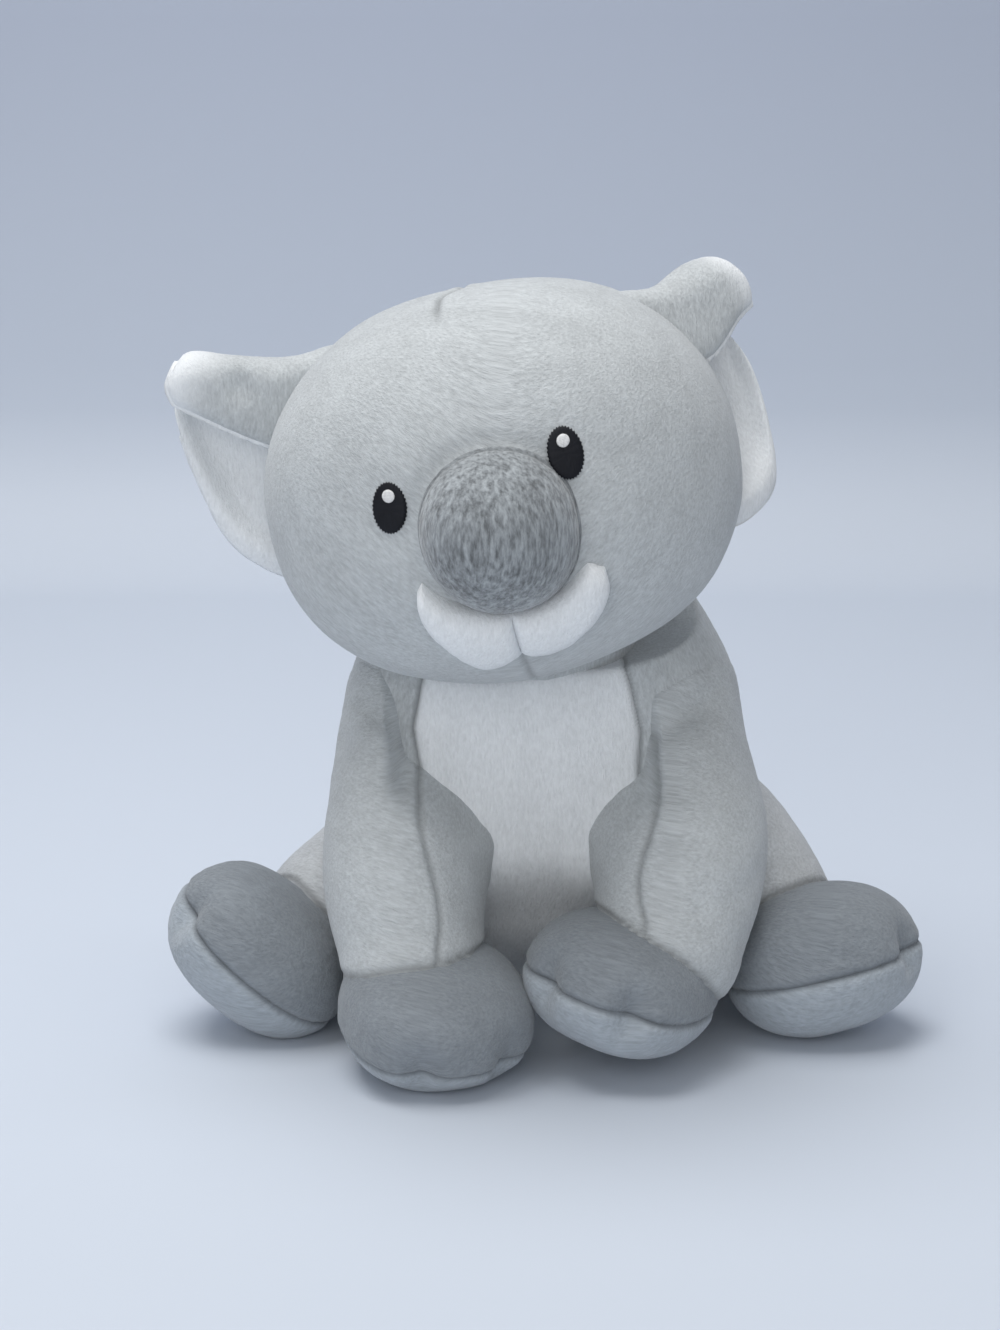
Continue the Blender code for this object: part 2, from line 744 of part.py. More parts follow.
def belly_prism(gap):
    """The outline of the white front panel, run from front to back."""
    half_widths = (
        (-OVERRUN, BELLY_HALF_SEAT),
        (0.0, BELLY_HALF_SEAT),
        (WAIST_HEIGHT / 2, BELLY_HALF_WAIST),
        (WAIST_HEIGHT, BELLY_HALF_WAIST),
        (CHEST_HEIGHT, BELLY_HALF_CHEST),
        (NECK_PIVOT.z + NECK_RADIUS / 2, BELLY_HALF_TOP),
        (OVERRUN, BELLY_HALF_TOP),
    )
    rows = []
    for depth in (-OVERRUN, BELLY_BACK + gap):
        left = [Vector((BELLY_SHIFT - half - gap, depth, height)) for height, half in half_widths]
        right = [Vector((BELLY_SHIFT + half + gap, depth, height)) for height, half in reversed(half_widths)]
        rows.append(left + right)
    return sheet_solid("belly", rows)


def build_body():
    skin = body_form(0)
    combine(skin, body_form(SKIN, plain=True))
    combine(skin, neck_bore(FIT_GAP))
    for hole in joint_holes():
        combine(skin, hole)
    belly = combine(copied(skin, "belly"), belly_prism(0.0), "INTERSECT")
    finished(belly, "belly_panel", plush("white", WHITE), Vector())
    combine(skin, belly_prism(SEAM_GAP), solvers=("MANIFOLD",))
    for side, sign in SIDES.items():
        edges = sorted((sign * SEAM_GAP / 2, sign * OVERRUN))
        half = box("half", (edges[0], -OVERRUN, -OVERRUN), (edges[1], OVERRUN, OVERRUN))
        panel = combine(copied(skin, "side"), half, "INTERSECT")
        finished(panel, "side_panel_" + side, plush("head_grey", HEAD_GREY), Vector())
    bpy.data.objects.remove(skin, do_unlink=True)
    filling = body_form(SKIN + FIT_GAP, plain=True)
    combine(filling, neck_bore(FIT_GAP))
    for hole in joint_holes():
        combine(filling, hole)
    finished(filling, "body_filling", plush("stuffing", STUFFING), Vector())


# Arms and front paws


def arm_form(side, shrink, grid=LIMB_GRID):
    radii = (SHOULDER_RADIUS - shrink, WRIST_RADIUS - shrink)
    start = mirrored(SHOULDER, side)
    end = mirrored(WRIST[side], side)
    return limb("arm", start, end, radii, ARM_BULGE[side], ARM_RISE, grid)


def leg_form(side, shrink, grid=LIMB_GRID):
    radii = (HIP_RADIUS[side] - shrink, ANKLE_RADIUS - shrink)
    start = mirrored(HIP[side], side)
    end = mirrored(ANKLE[side], side)
    form = limb("leg", start, end, radii, LEG_BULGE[side], LEG_RISE[side], grid)
    combine(form, box("floor", (-OVERRUN, -OVERRUN, -OVERRUN), (OVERRUN, OVERRUN, max(shrink, 0.0))))
    return form


def trim_limb(form, body_sweep, ends, radius, shrink, grid):
    """Cuts a limb back from the body through its motion. Its round end stays whole in the socket."""
    pivot = ends[0]
    axis, angles = body_sweep
    if shrink:
        body = body_form(-SWING_GAP - shrink - HOLLOW_SLACK, plain=True, envelope=False)
    else:
        body = body_form(-SWING_GAP, envelope=False)
    combine(body, limb_ball(*ends, radius - shrink + LEAST_GAP, grid))
    trim_swept(form, body, pivot, axis, angles)
    return form


def fitted_arm(side, shrink, grid=LIMB_GRID):
    ends = (mirrored(SHOULDER, side), mirrored(WRIST[side], side))
    swing = (Vector((-1, 0, 0)), ARM_SWING)
    form = trim_limb(arm_form(side, shrink, grid), swing, ends, SHOULDER_RADIUS, shrink, grid)
    return combine(form, leg_form(side, -THIGH_GAP - shrink))


def fitted_leg(side, shrink, grid=LIMB_GRID):
    ends = (mirrored(HIP[side], side), mirrored(ANKLE[side], side))
    splay = (Vector((0, 0, SIDES[side])), HIP_SPLAY)
    return trim_limb(leg_form(side, shrink, grid), splay, ends, HIP_RADIUS[side], shrink, grid)


def limb_panels(skin, place, names, material, origin):
    """Splits a limb's skin along its seams into two panels."""
    for name, sign in names:
        edges = sorted((sign * SEAM_GAP / 2, sign * OVERRUN))
        half = box("half", (-OVERRUN, -OVERRUN, edges[0]), (OVERRUN, OVERRUN, edges[1]), place)
        panel = combine(copied(skin, name), half, "INTERSECT")
        finished(panel, name, material, origin)
    bpy.data.objects.remove(skin, do_unlink=True)


def build_arm(side):
    pivot = mirrored(SHOULDER, side)
    wrist = mirrored(WRIST[side], side)
    skin = combine(fitted_arm(side, 0.0), fitted_arm(side, SKIN, halved(LIMB_GRID)))
    place = Matrix.Translation(pivot) @ along(wrist - pivot, Vector((SIDES[side], 0, 0)))
    names = ((f"arm_outer_panel_{side}", 1), (f"arm_inner_panel_{side}", -1))
    limb_panels(skin, place, names, plush("head_grey", HEAD_GREY), pivot)
    filling = fitted_arm(side, SKIN + FIT_GAP, halved(LIMB_GRID))
    finished(filling, "arm_filling_" + side, plush("stuffing", STUFFING), pivot)


def paw_place(side):
    sign = SIDES[side]
    forward = Matrix.Rotation(math.radians(-90) - sign * PAW_TURN[side], 4, "Z")
    pitch = Matrix.Rotation(-PAW_PITCH[side], 4, "Y")
    roll = Matrix.Rotation(PAW_ROLL[side], 4, "X")
    return Matrix.Translation(mirrored(PAW_CENTRE[side], side)) @ forward @ pitch @ roll


def foot_place(side):
    sign = SIDES[side]
    forward = Matrix.Rotation(0 if sign > 0 else math.pi, 4, "Z")
    pitch = Matrix.Rotation(-FOOT_PITCH[side], 4, "Y")
    roll = Matrix.Rotation(sign * FOOT_ROLL[side], 4, "X")
    return Matrix.Translation(mirrored(FOOT_CENTRE[side], side)) @ forward @ pitch @ roll


def build_pillow(halves, power, place, seam, names, pivot, room):
    """A paw or foot: top and sole over stuffing, with an opening where the limb enters."""
    skin = toed("pillow", halves, power, place, PILLOW_GRID)
    core = toed("core", shrunk(halves, SKIN), power, place, halved(PILLOW_GRID))
    filling = toed("filling", shrunk(halves, SKIN + FIT_GAP), power, place, halved(PILLOW_GRID))
    for form, height in ((skin, 0.0), (core, SKIN), (filling, SKIN + FIT_GAP)):
        combine(form, box("floor", (-OVERRUN, -OVERRUN, -OVERRUN), (OVERRUN, OVERRUN, height)))
    combine(skin, core)
    combine(skin, copied(room, "tool"))
    combine(filling, room)
    colours = (plush("paw_grey", PAW_GREY), plush("sole_grey", SOLE_GREY))
    for name, sign, colour in ((names[0], 1, colours[0]), (names[1], -1, colours[1])):
        edges = sorted((sign * SEAM_GAP / 2, sign * OVERRUN))
        low = (-OVERRUN, -OVERRUN, edges[0] + seam)
        half = box("half", low, (OVERRUN, OVERRUN, edges[1] + seam), place)
        panel = combine(copied(skin, name), half, "INTERSECT")
        finished(panel, name, colour, pivot)
    bpy.data.objects.remove(skin, do_unlink=True)
    finished(filling, names[2], plush("stuffing", STUFFING), pivot)


def build_paw(side):
    pivot = mirrored(WRIST[side], side)
    limb_in = arm_form(side, -JOINT_GAP)
    room = turning_room(limb_in, pivot, WRIST_RADIUS + JOINT_GAP, Vector((1, 0, 0)), WRIST_FLEX)
    names = (f"paw_top_{side}", f"paw_sole_{side}", f"paw_filling_{side}")
    build_pillow(PAW_HALVES, PAW_POWER, paw_place(side), PAW_SEAM[side], names, pivot, room)


# Legs and hind feet


def build_leg(side):
    pivot = mirrored(HIP[side], side)
    ankle = mirrored(ANKLE[side], side)
    skin = combine(fitted_leg(side, 0.0), fitted_leg(side, SKIN, halved(LIMB_GRID)))
    place = Matrix.Translation(pivot) @ along(ankle - pivot, Vector((0, 0, 1)))
    names = ((f"leg_upper_panel_{side}", 1), (f"leg_under_panel_{side}", -1))
    limb_panels(skin, place, names, plush("leg_white", LEG_WHITE), pivot)
    filling = fitted_leg(side, SKIN + FIT_GAP, halved(LIMB_GRID))
    finished(filling, "leg_filling_" + side, plush("stuffing", STUFFING), pivot)


def ankle_axis(side):
    """A level axis square to the leg."""
    reach = mirrored(ANKLE[side], side) - mirrored(HIP[side], side)
    return Vector((-reach.y, reach.x, 0)).normalized()


def build_foot(side):
    pivot = mirrored(ANKLE[side], side)
    limb_in = leg_form(side, -JOINT_GAP)
    room = turning_room(limb_in, pivot, ANKLE_RADIUS + JOINT_GAP, ankle_axis(side), ANKLE_FLEX)
    names = (f"foot_top_{side}", f"foot_sole_{side}", f"foot_filling_{side}")
    build_pillow(FOOT_HALVES, FOOT_POWER, foot_place(side), 0.0, names, pivot, room)


def main():
    clear_scene()
    build_head()
    build_nose()
    build_chin()
    build_eyes()
    build_neck()
    build_body()
    for side in SIDES:
        build_ear(side)
        build_arm(side)
        build_paw(side)
        build_leg(side)
        build_foot(side)


main()
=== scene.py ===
"""Dresses the seated plush koala: full stuffed forms, sewn seams, folds and short brushed pile.

Left and right are the viewer's, so left is towards -X. All sizes are in metres.
"""

import json
import math

import bpy
import numpy as np
from bpy.props import FloatProperty, FloatVectorProperty, PointerProperty
from mathutils import Matrix, Vector, noise


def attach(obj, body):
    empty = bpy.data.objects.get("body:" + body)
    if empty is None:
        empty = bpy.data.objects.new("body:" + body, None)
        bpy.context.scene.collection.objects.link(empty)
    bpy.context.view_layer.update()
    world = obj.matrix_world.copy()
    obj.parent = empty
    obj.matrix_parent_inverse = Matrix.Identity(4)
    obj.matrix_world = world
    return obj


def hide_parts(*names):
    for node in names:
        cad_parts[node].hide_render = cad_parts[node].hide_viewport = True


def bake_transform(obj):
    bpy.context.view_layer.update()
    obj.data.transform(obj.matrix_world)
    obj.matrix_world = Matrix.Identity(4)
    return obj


bl_info = {
    "name": "Plush Koala",
    "version": (1, 0, 0),
    "blender": (4, 5, 0),
    "location": "View3D > Sidebar > Plush Koala",
    "description": "Builds the visible fabric of a seated plush koala around its model",
    "category": "Add Mesh",
}

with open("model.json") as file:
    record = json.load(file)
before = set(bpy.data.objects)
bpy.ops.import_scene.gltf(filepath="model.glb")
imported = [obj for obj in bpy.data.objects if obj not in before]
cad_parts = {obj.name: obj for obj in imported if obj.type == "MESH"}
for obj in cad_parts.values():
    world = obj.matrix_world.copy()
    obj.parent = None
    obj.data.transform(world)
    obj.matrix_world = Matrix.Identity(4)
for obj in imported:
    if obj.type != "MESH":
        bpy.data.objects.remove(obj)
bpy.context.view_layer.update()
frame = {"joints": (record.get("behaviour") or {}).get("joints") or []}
JOINTS = {joint["name"]: joint for joint in frame["joints"]}
SIDES = {"left": -1, "right": 1}

# Head: reach to the left, right, front, back, down and up, then its place over the neck
NECK = np.array(JOINTS["neck_turn"]["pos_m"])
HEAD_HALVES = (0.0725, 0.0725, 0.0580, 0.0580, 0.0575, 0.0625)
HEAD_FROM_NECK = np.array((-0.0123, -0.0300, 0.0500))
HEAD_POWER = 2.2
HEAD_LEAN = math.radians(12)
HEAD_TURN = math.radians(4)
SIDE_SEAM_DEPTH = 0.0080
HEAD_NAP = math.radians(42)
NECK_RADIUS = 0.0310
HEAD_GAP = 0.0018

# Nose, chin pads and eyes, from the middle of the head
NOSE_HALVES = (0.0240, 0.0240, 0.0290, 0.0290, 0.0250, 0.0245)
NOSE_CENTRE = (0.0020, -0.0480, -0.0020)
NOSE_POWER = 2.05
CHIN_INNER = (
    (-0.0236, -0.0128), (-0.0200, -0.0175), (-0.0150, -0.0210), (-0.0085, -0.0240), (0.0000, -0.0265),
    (0.0085, -0.0260), (0.0150, -0.0238), (0.0205, -0.0200), (0.0250, -0.0165),
)
CHIN_OUTER = (
    (-0.0252, -0.0150), (-0.0254, -0.0230), (-0.0218, -0.0325), (-0.0125, -0.0430), (-0.0004, -0.0415),
    (0.0110, -0.0410), (0.0212, -0.0355), (0.0285, -0.0265), (0.0292, -0.0180),
)
CHIN_LIFT = 0.0065
EYE_PLACE = {"left": (-0.0278, 0.0103), "right": (0.0250, 0.0160)}
EYE_LEAN = {"left": math.radians(-12), "right": math.radians(3)}
EYE_HALF = (0.0050, 0.0075)
GLINT_RADIUS = 0.0019
GLINT_RISE = 0.0034

# Ears: one row per slice, from the root to the tip
EAR_CREST = {
    "left": ((0.0300, 0.0490), (0.0440, 0.0500), (0.0580, 0.0495), (0.0750, 0.0535), (0.0910, 0.0580)),
    "right": ((0.0300, 0.0480), (0.0440, 0.0470), (0.0560, 0.0465), (0.0690, 0.0515), (0.0800, 0.0510)),
}
EAR_EDGE = {
    "left": ((0.0600, -0.0190), (0.0760, -0.0120), (0.0880, 0.0020), (0.0940, 0.0240), (0.0965, 0.0490)),
    "right": ((0.0520, -0.0260), (0.0700, -0.0235), (0.0835, -0.0140), (0.0865, 0.0060), (0.0850, 0.0330)),
}
EAR_FLAP = {
    "left": (0.0330, 0.0260, 0.0190, 0.0120, 0.0060),
    "right": (0.0240, 0.0220, 0.0180, 0.0110, 0.0050),
}
EAR_BEND = {
    "left": (0.0044, 0.0046, 0.0048, 0.0052, 0.0050),
    "right": (0.0046, 0.0050, 0.0060, 0.0080, 0.0084),
}
EAR_DEPTH = 0.0080
EAR_TURN = {"left": 0.0, "right": math.radians(42)}
EAR_LAYER = 0.0032
EAR_RIM = 0.0019
EAR_DIMPLE = (-0.0710, -0.0080, 0.0480)

# Body and its white front panel: height against the panel's left and right edge
BODY_HALVES = (0.0640, 0.0640, 0.0440, 0.0460, 0.0640, 0.0980)
BODY_CENTRE = (0.0, 0.0180, 0.0600)
BODY_POWER = 2.5
BELLY_HEIGHT = (0.000, 0.030, 0.060, 0.084, 0.098, 0.112, 0.123, 0.150)
BELLY_LEFT = (-0.0260, -0.0320, -0.0370, -0.0385, -0.0412, -0.0385, -0.0350, -0.0300)
BELLY_RIGHT = (0.0220, 0.0270, 0.0300, 0.0302, 0.0305, 0.0275, 0.0240, 0.0200)
BELLY_BACK = 0.0150

# Arms and legs: points along the middle of each, with the radius there
WRIST = {side: np.array(JOINTS[f"wrist_{side}"]["pos_m"]) for side in SIDES}
HIP = {side: np.array(JOINTS[f"hip_{side}"]["pos_m"]) for side in SIDES}
ANKLE = {side: np.array(JOINTS[f"ankle_{side}"]["pos_m"]) for side in SIDES}
ARM_TOP = {"left": (-0.0395, 0.0060, 0.1000), "right": (0.0400, 0.0060, 0.1000)}
ARM_MIDDLE = {"left": (-0.0440, -0.0290, 0.0620), "right": (0.0440, -0.0280, 0.0640)}
ARM_RADII = {"left": (0.0205, 0.0250, 0.0226), "right": (0.0205, 0.0260, 0.0234)}
ARM_TUCK = {
    "left": (
        (-0.0500, -0.0375, -0.0322, -0.0254, -0.0188, -0.0144),
        (0.0950, 0.0883, 0.0848, 0.0807, 0.0745, 0.0660),
    ),
    "right": (
        (0.0118, 0.0152, 0.0202, 0.0255, 0.0305, 0.0370),
        (0.0650, 0.0739, 0.0810, 0.0848, 0.0875, 0.0930),
    ),
}
ARM_SEAM = {"left": (math.radians(16), math.radians(13)), "right": (math.radians(34), math.radians(6))}
LEG_MIDDLE = {"left": (0.0030, -0.0020, 0.0015), "right": (-0.0070, 0.0000, 0.0140)}
LEG_RADII = {"left": (0.0305, 0.0250, 0.0178), "right": (0.0375, 0.0292, 0.0185)}
LIMB_NAP = math.radians(25)
FOLDS = (
    ((-0.0640, -0.0130, 0.0925), (-0.0440, -0.0300, 0.0810), 0.0022, 0.0042),
    ((-0.0560, -0.0150, 0.1060), (-0.0430, -0.0250, 0.0940), 0.0010, 0.0040),
    ((0.0330, -0.0290, 0.0960), (0.0560, -0.0150, 0.1090), 0.0020, 0.0045),
    ((0.0420, -0.0400, 0.0780), (0.0660, -0.0250, 0.0860), 0.0010, 0.0050),
    ((0.0450, -0.0600, 0.0520), (0.0680, -0.0420, 0.0600), 0.0012, 0.0045),
)

# Front paws and hind feet: reach to the heel, toes, each side, down and up
PAW_HALVES = (0.0300, 0.0310, 0.0290, 0.0290, 0.0200, 0.0205)
PAW_CENTRE = {"left": (-0.0335, -0.0580, 0.0190), "right": (0.0238, -0.0540, 0.0272)}
PAW_TURN = {"left": math.radians(22), "right": math.radians(25)}
PAW_PITCH = {"left": math.radians(-8), "right": math.radians(9)}
PAW_ROLL = {"left": 0.0, "right": math.radians(-13)}
PAW_SEAM = {"left": -0.0070, "right": -0.0010}
FOOT_HALVES = {
    "left": (0.0325, 0.0305, 0.0255, 0.0250, 0.0220, 0.0215),
    "right": (0.0300, 0.0335, 0.0255, 0.0255, 0.0220, 0.0240),
}
FOOT_CENTRE = {"left": (-0.0905, -0.0230, 0.0268), "right": (0.0875, -0.0250, 0.0228)}
FOOT_PITCH = {"left": math.radians(42), "right": math.radians(14)}
FOOT_ROLL = {"left": math.radians(9), "right": math.radians(-6)}
PILLOW_POWER = 2.3
TOE_ANGLE = math.radians(30)
TOE_WIDTH = math.radians(11)
TOE_NOTCH_SHARE = 0.15

# How many quads each form has along its edges
HEAD_GRID = 116
NECK_GRID = 30
NOSE_GRID = 64
BODY_GRID = 104
PILLOW_GRID = 60
CHIN_GRID = (44, 26, 2)
STITCH_GRID = (40, 40, 2)
EAR_GRID = (72, 120, 2)
ARM_GRID = (104, 42, 42)
LEG_GRID = (60, 40, 40)

# Camera and stage
CAMERA_TARGET = (-0.0135, 0.0, 0.1140)
CAMERA_DISTANCE = 0.80
CAMERA_DROP = math.radians(14)
CAMERA_LENS = 90
TABLE_HALF_WIDTH = 2.6
TABLE_FRONT = -1.6
TABLE_BACK = 0.72
WALL_HEIGHT = 1.7


def length_property(name, description, default):
    return FloatProperty(name=name, description=description, default=default, unit="LENGTH")


class PlushSizes(bpy.types.PropertyGroup):
    """Sizes of the cloth, its pile and its seams."""

    pile: length_property("Pile", "Height of the uneven pile", 0.00012)
    seam_depth: length_property("Seam depth", "Depth of a sewn seam", 0.0009)
    seam_width: length_property("Seam width", "Half width of a seam", 0.0009)
    stuffing: length_property("Stuffing", "Height of soft lumps", 0.0010)
    fillet: length_property("Fillet", "Reach of soft joins", 0.0200)


def colour_property(name, default):
    description = f"Colour of the {name.lower()}"
    return FloatVectorProperty(name=name, description=description, default=default, subtype="COLOR")


class PlushColours(bpy.types.PropertyGroup):
    """Colours of each fabric and thread."""

    pale_grey: colour_property("Pale grey plush", (0.520, 0.547, 0.560))
    white: colour_property("White plush", (0.830, 0.855, 0.875))
    off_white: colour_property("Off-white plush", (0.570, 0.590, 0.605))
    dark_grey: colour_property("Dark grey plush", (0.255, 0.280, 0.305))
    # Painted light: the soles are the dark grey cloth made lighter, standing in for light bounced up from the
    # pale table and the pile's sheen.
    sole: colour_property("Sole plush", (0.390, 0.430, 0.470))
    nose: colour_property("Nose plush", (0.265, 0.285, 0.300))
    black: colour_property("Black thread", (0.006, 0.007, 0.011))
    thread: colour_property("White thread", (0.800, 0.810, 0.810))


# Surfaces made point by point


def box_grid(counts):
    """Points over a box from -1 to 1, and the quads between them, turned out."""
    corners = []
    for axis in range(3):
        first, second = (axis + 1) % 3, (axis + 2) % 3
        u, v = np.meshgrid(np.arange(counts[first]), np.arange(counts[second]), indexing="ij")
        u, v = u.ravel(), v.ravel()
        for end in (0, counts[axis]):
            quad = np.zeros((len(u), 4, 3), int)
            for corner, (du, dv) in enumerate(((0, 0), (1, 0), (1, 1), (0, 1))):
                quad[:, corner, axis] = end
                quad[:, corner, first] = u + du
                quad[:, corner, second] = v + dv
            corners.append(quad if end else quad[:, ::-1])
    lattice, index = np.unique(np.concatenate(corners).reshape(-1, 3), axis=0, return_inverse=True)
    return lattice / np.array(counts) * 2 - 1, index.reshape(-1, 4)


def ball_grid(count):
    """Directions spread evenly over a ball, and the quads between them."""
    lattice, faces = box_grid((count, count, count))
    spread = np.tan(lattice * math.pi / 4)
    return spread / np.linalg.norm(spread, axis=1, keepdims=True), faces


def sizes_for(local, halves):
    low = np.array(halves[0::2])
    high = np.array(halves[1::2])
    return np.where(local > 0, high, low)


def blob_reach(directions, halves, power):
    """How far a rounded form reaches from its middle in each direction."""
    level = (np.abs(directions / sizes_for(directions, halves)) ** power).sum(axis=1)
    return level ** (-1 / power)


def into(place, points):
    return (points - np.array(place.translation)) @ np.array(place.to_3x3())


def out_of(place, local):
    return local @ np.array(place.to_3x3()).T + np.array(place.translation)


def blob_depth(points, place, halves, power):
    """Distance outside a rounded form, below zero inside it."""
    local = into(place, points)
    level = (np.abs(local / sizes_for(local, halves)) ** power).sum(axis=1) ** (1 / power)
    return np.linalg.norm(local, axis=1) * (1 - 1 / np.maximum(level, 1e-6))


def spline(points, shares):
    """A smooth curve through the points, read at shares from 0 to 1."""
    points = np.array(points, float)
    ends = np.concatenate([2 * points[:1] - points[1:2], points, 2 * points[-1:] - points[-2:-1]])
    place = np.clip(shares, 0, 1) * (len(points) - 1)
    base = np.minimum(place.astype(int), len(points) - 2)
    t = place - base
    if points.ndim > 1:
        t = t[:, None]
    a, b, c, d = (ends[base + i] for i in range(4))
    return 0.5 * (2 * b + (c - a) * t + (2 * a - 5 * b + 4 * c - d) * t**2 + (3 * b - a - 3 * c + d) * t**3)


def limb_depth(points, middle, radii):
    """Distance outside a limb, below zero inside it."""
    shares = np.linspace(0, 1, 16)
    line = spline(middle, shares)
    widths = spline(radii, shares)
    best = np.full(len(points), 1.0)
    for i in range(len(shares) - 1):
        step = line[i + 1] - line[i]
        along = np.clip((points - line[i]) @ step / (step @ step), 0, 1)
        near = line[i] + along[:, None] * step
        width = widths[i] + (widths[i + 1] - widths[i]) * along
        best = np.minimum(best, np.linalg.norm(points - near, axis=1) - width)
    return best


def bell(value, width):
    return np.exp(-((value / width) ** 2))


def rise(value, low, high):
    """Goes smoothly from 0 at low to 1 at high."""
    share = np.clip((value - low) / (high - low), 0, 1)
    return share * share * (3 - 2 * share)


def lumps(points, size, seed):
    """Smooth uneven values from -1 to 1 with lumps about this wide."""
    shift = Vector((seed * 3.7, seed * 1.9, seed * 5.3))
    return np.array([noise.noise(Vector(point) + shift) for point in (points / size).tolist()])


def nap_place(points, middle, lean):
    """Places for the pile's pattern, drawn out along the lie of the pile to both sides of the middle."""
    x, y, z = (points - np.array((middle, 0, 0))).T
    out = np.sqrt(x * x + 0.0001)
    across = z * math.cos(lean) - out * math.sin(lean) if lean else x
    along = z * math.sin(lean) + out * math.cos(lean) if lean else z
    return np.stack([across, y + 0.3 * x, along * 0.30], axis=1)


class Skin:
    """A surface that is shaped point by point, with a mark where it is sewn that gets painted seam shade."""

    def __init__(self, points, faces, nap=(0.0, 0.0)):
        self.points = np.array(points, float)
        a, b, c, d = (self.points[faces[:, corner]] for corner in range(4))
        bulk = (a * (np.cross(b, c) + np.cross(c, d))).sum()
        self.faces = faces if bulk > 0 else faces[:, ::-1]
        self.marks = np.zeros(len(points))
        self.fade = np.zeros(len(points))
        self.nap = nap_place(self.points, *nap)

    def normals(self):
        corners = self.points[self.faces]
        flat = np.cross(corners[:, 2] - corners[:, 0], corners[:, 3] - corners[:, 1])
        total = np.zeros_like(self.points)
        for corner in range(4):
            for axis in range(3):
                total[:, axis] += np.bincount(self.faces[:, corner], flat[:, axis], len(self.points))
        return total / np.maximum(np.linalg.norm(total, axis=1, keepdims=True), 1e-12)

    def push(self, amount):
        self.points += self.normals() * np.reshape(amount, (-1, 1))

    def sew(self, distance, share=1.0, puff=0.3):
        """A groove along a seam with the cloth standing a little fuller beside it."""
        sizes = bpy.context.scene.plush_sizes
        width, depth = sizes.seam_width, sizes.seam_depth
        groove = bell(distance, width) * share
        lip = bell(np.abs(distance) - 3.2 * width, 2 * width) * share
        self.push(depth * (puff * lip - groove))
        # The mark paints shade into the seam and makes its pile rougher.
        self.marks = np.maximum(self.marks, bell(distance, 1.3 * width) * share)

    def panel(self, inside, sink=0.0030):
        """Keeps the side where inside is above zero, and sinks the rest under the next panel."""
        sizes = bpy.context.scene.plush_sizes
        width, depth = sizes.seam_width, sizes.seam_depth
        groove = bell(inside, width) * (inside > 0) + (inside <= 0)
        lip = bell(inside - 3.2 * width, 2 * width)
        under = rise(-inside, 0, 3 * width) * sink
        self.push(depth * (0.3 * lip - groove) - under)
        # The mark paints shade into the groove and over the side sunk under the next panel.
        self.marks = np.maximum(self.marks, groove)

    def crease(self, start, end, depth, width):
        """A soft fold pressed in between two places."""
        step = np.array(end) - np.array(start)
        along = np.clip((self.points - np.array(start)) @ step / (step @ step), 0, 1)
        near = np.array(start) + along[:, None] * step
        distance = np.linalg.norm(self.points - near, axis=1)
        fade = 0.35 + 0.65 * np.sin(math.pi * np.clip(along, 0.0, 1.0))
        self.push(depth * fade * (0.45 * bell(distance - 2.1 * width, 1.2 * width) - bell(distance, width)))

    def stuff(self, seed, share=1.0):
        """Soft lumps from the filling."""
        height = bpy.context.scene.plush_sizes.stuffing * share
        self.push(height * (lumps(self.points, 0.034, seed) + 0.30 * lumps(self.points, 0.016, seed + 1)))

    def brush(self, seed, share=1.0):
        """Uneven pile, rougher along the seams."""
        height = bpy.context.scene.plush_sizes.pile * share
        fine = lumps(self.nap, 0.0024, seed + 2)
        self.push(height * fine * (1 + 2.0 * self.marks))

    def piece(self, name, material, slot):
        """Puts the finished surface in the scene. Nothing reaches under the table."""
        self.points[:, 2] = np.maximum(self.points[:, 2], 0.0001)
        mesh = bpy.data.meshes.new(name)
        mesh.from_pydata(self.points.tolist(), [], self.faces.tolist())
        mesh.attributes.new("nap_place", "FLOAT_VECTOR", "POINT").data.foreach_set("vector", self.nap.ravel())
        # The seam marks darken the fabric as painted seam shade.
        mesh.attributes.new("seam_mark", "FLOAT", "POINT").data.foreach_set("value", self.marks)
        mesh.attributes.new("fade_mark", "FLOAT", "POINT").data.foreach_set("value", self.fade)
        mesh.shade_smooth()
        mesh.materials.append(material)
        item = bpy.data.objects.new(name, mesh)
        bpy.context.scene.collection.objects.link(item)
        return item


# Fabric


def link(tree, start, output, end, field):
    tree.links.new(start.outputs[output], end.inputs[field])


def noise_node(tree, place, size, detail):
    node = tree.nodes.new("ShaderNodeTexNoise")
    node.inputs["Scale"].default_value = 1 / size
    node.inputs["Detail"].default_value = detail
    node.inputs["Roughness"].default_value = 0.6
    tree.links.new(place.outputs["Vector"], node.inputs["Vector"])
    return node


def mix_colour(tree, factor, output, first, second):
    node = tree.nodes.new("ShaderNodeMix")
    node.data_type = "RGBA"
    link(tree, factor, output, node, 0)
    for socket, value in ((6, first), (7, second)):
        if isinstance(value, bpy.types.Node):
            link(tree, value, 2 if value.bl_idname == "ShaderNodeMix" else 0, node, socket)
        else:
            node.inputs[socket].default_value = (*value, 1)
    return node


def shaded(colour, share):
    return tuple(min(channel * share, 0.95) for channel in colour)


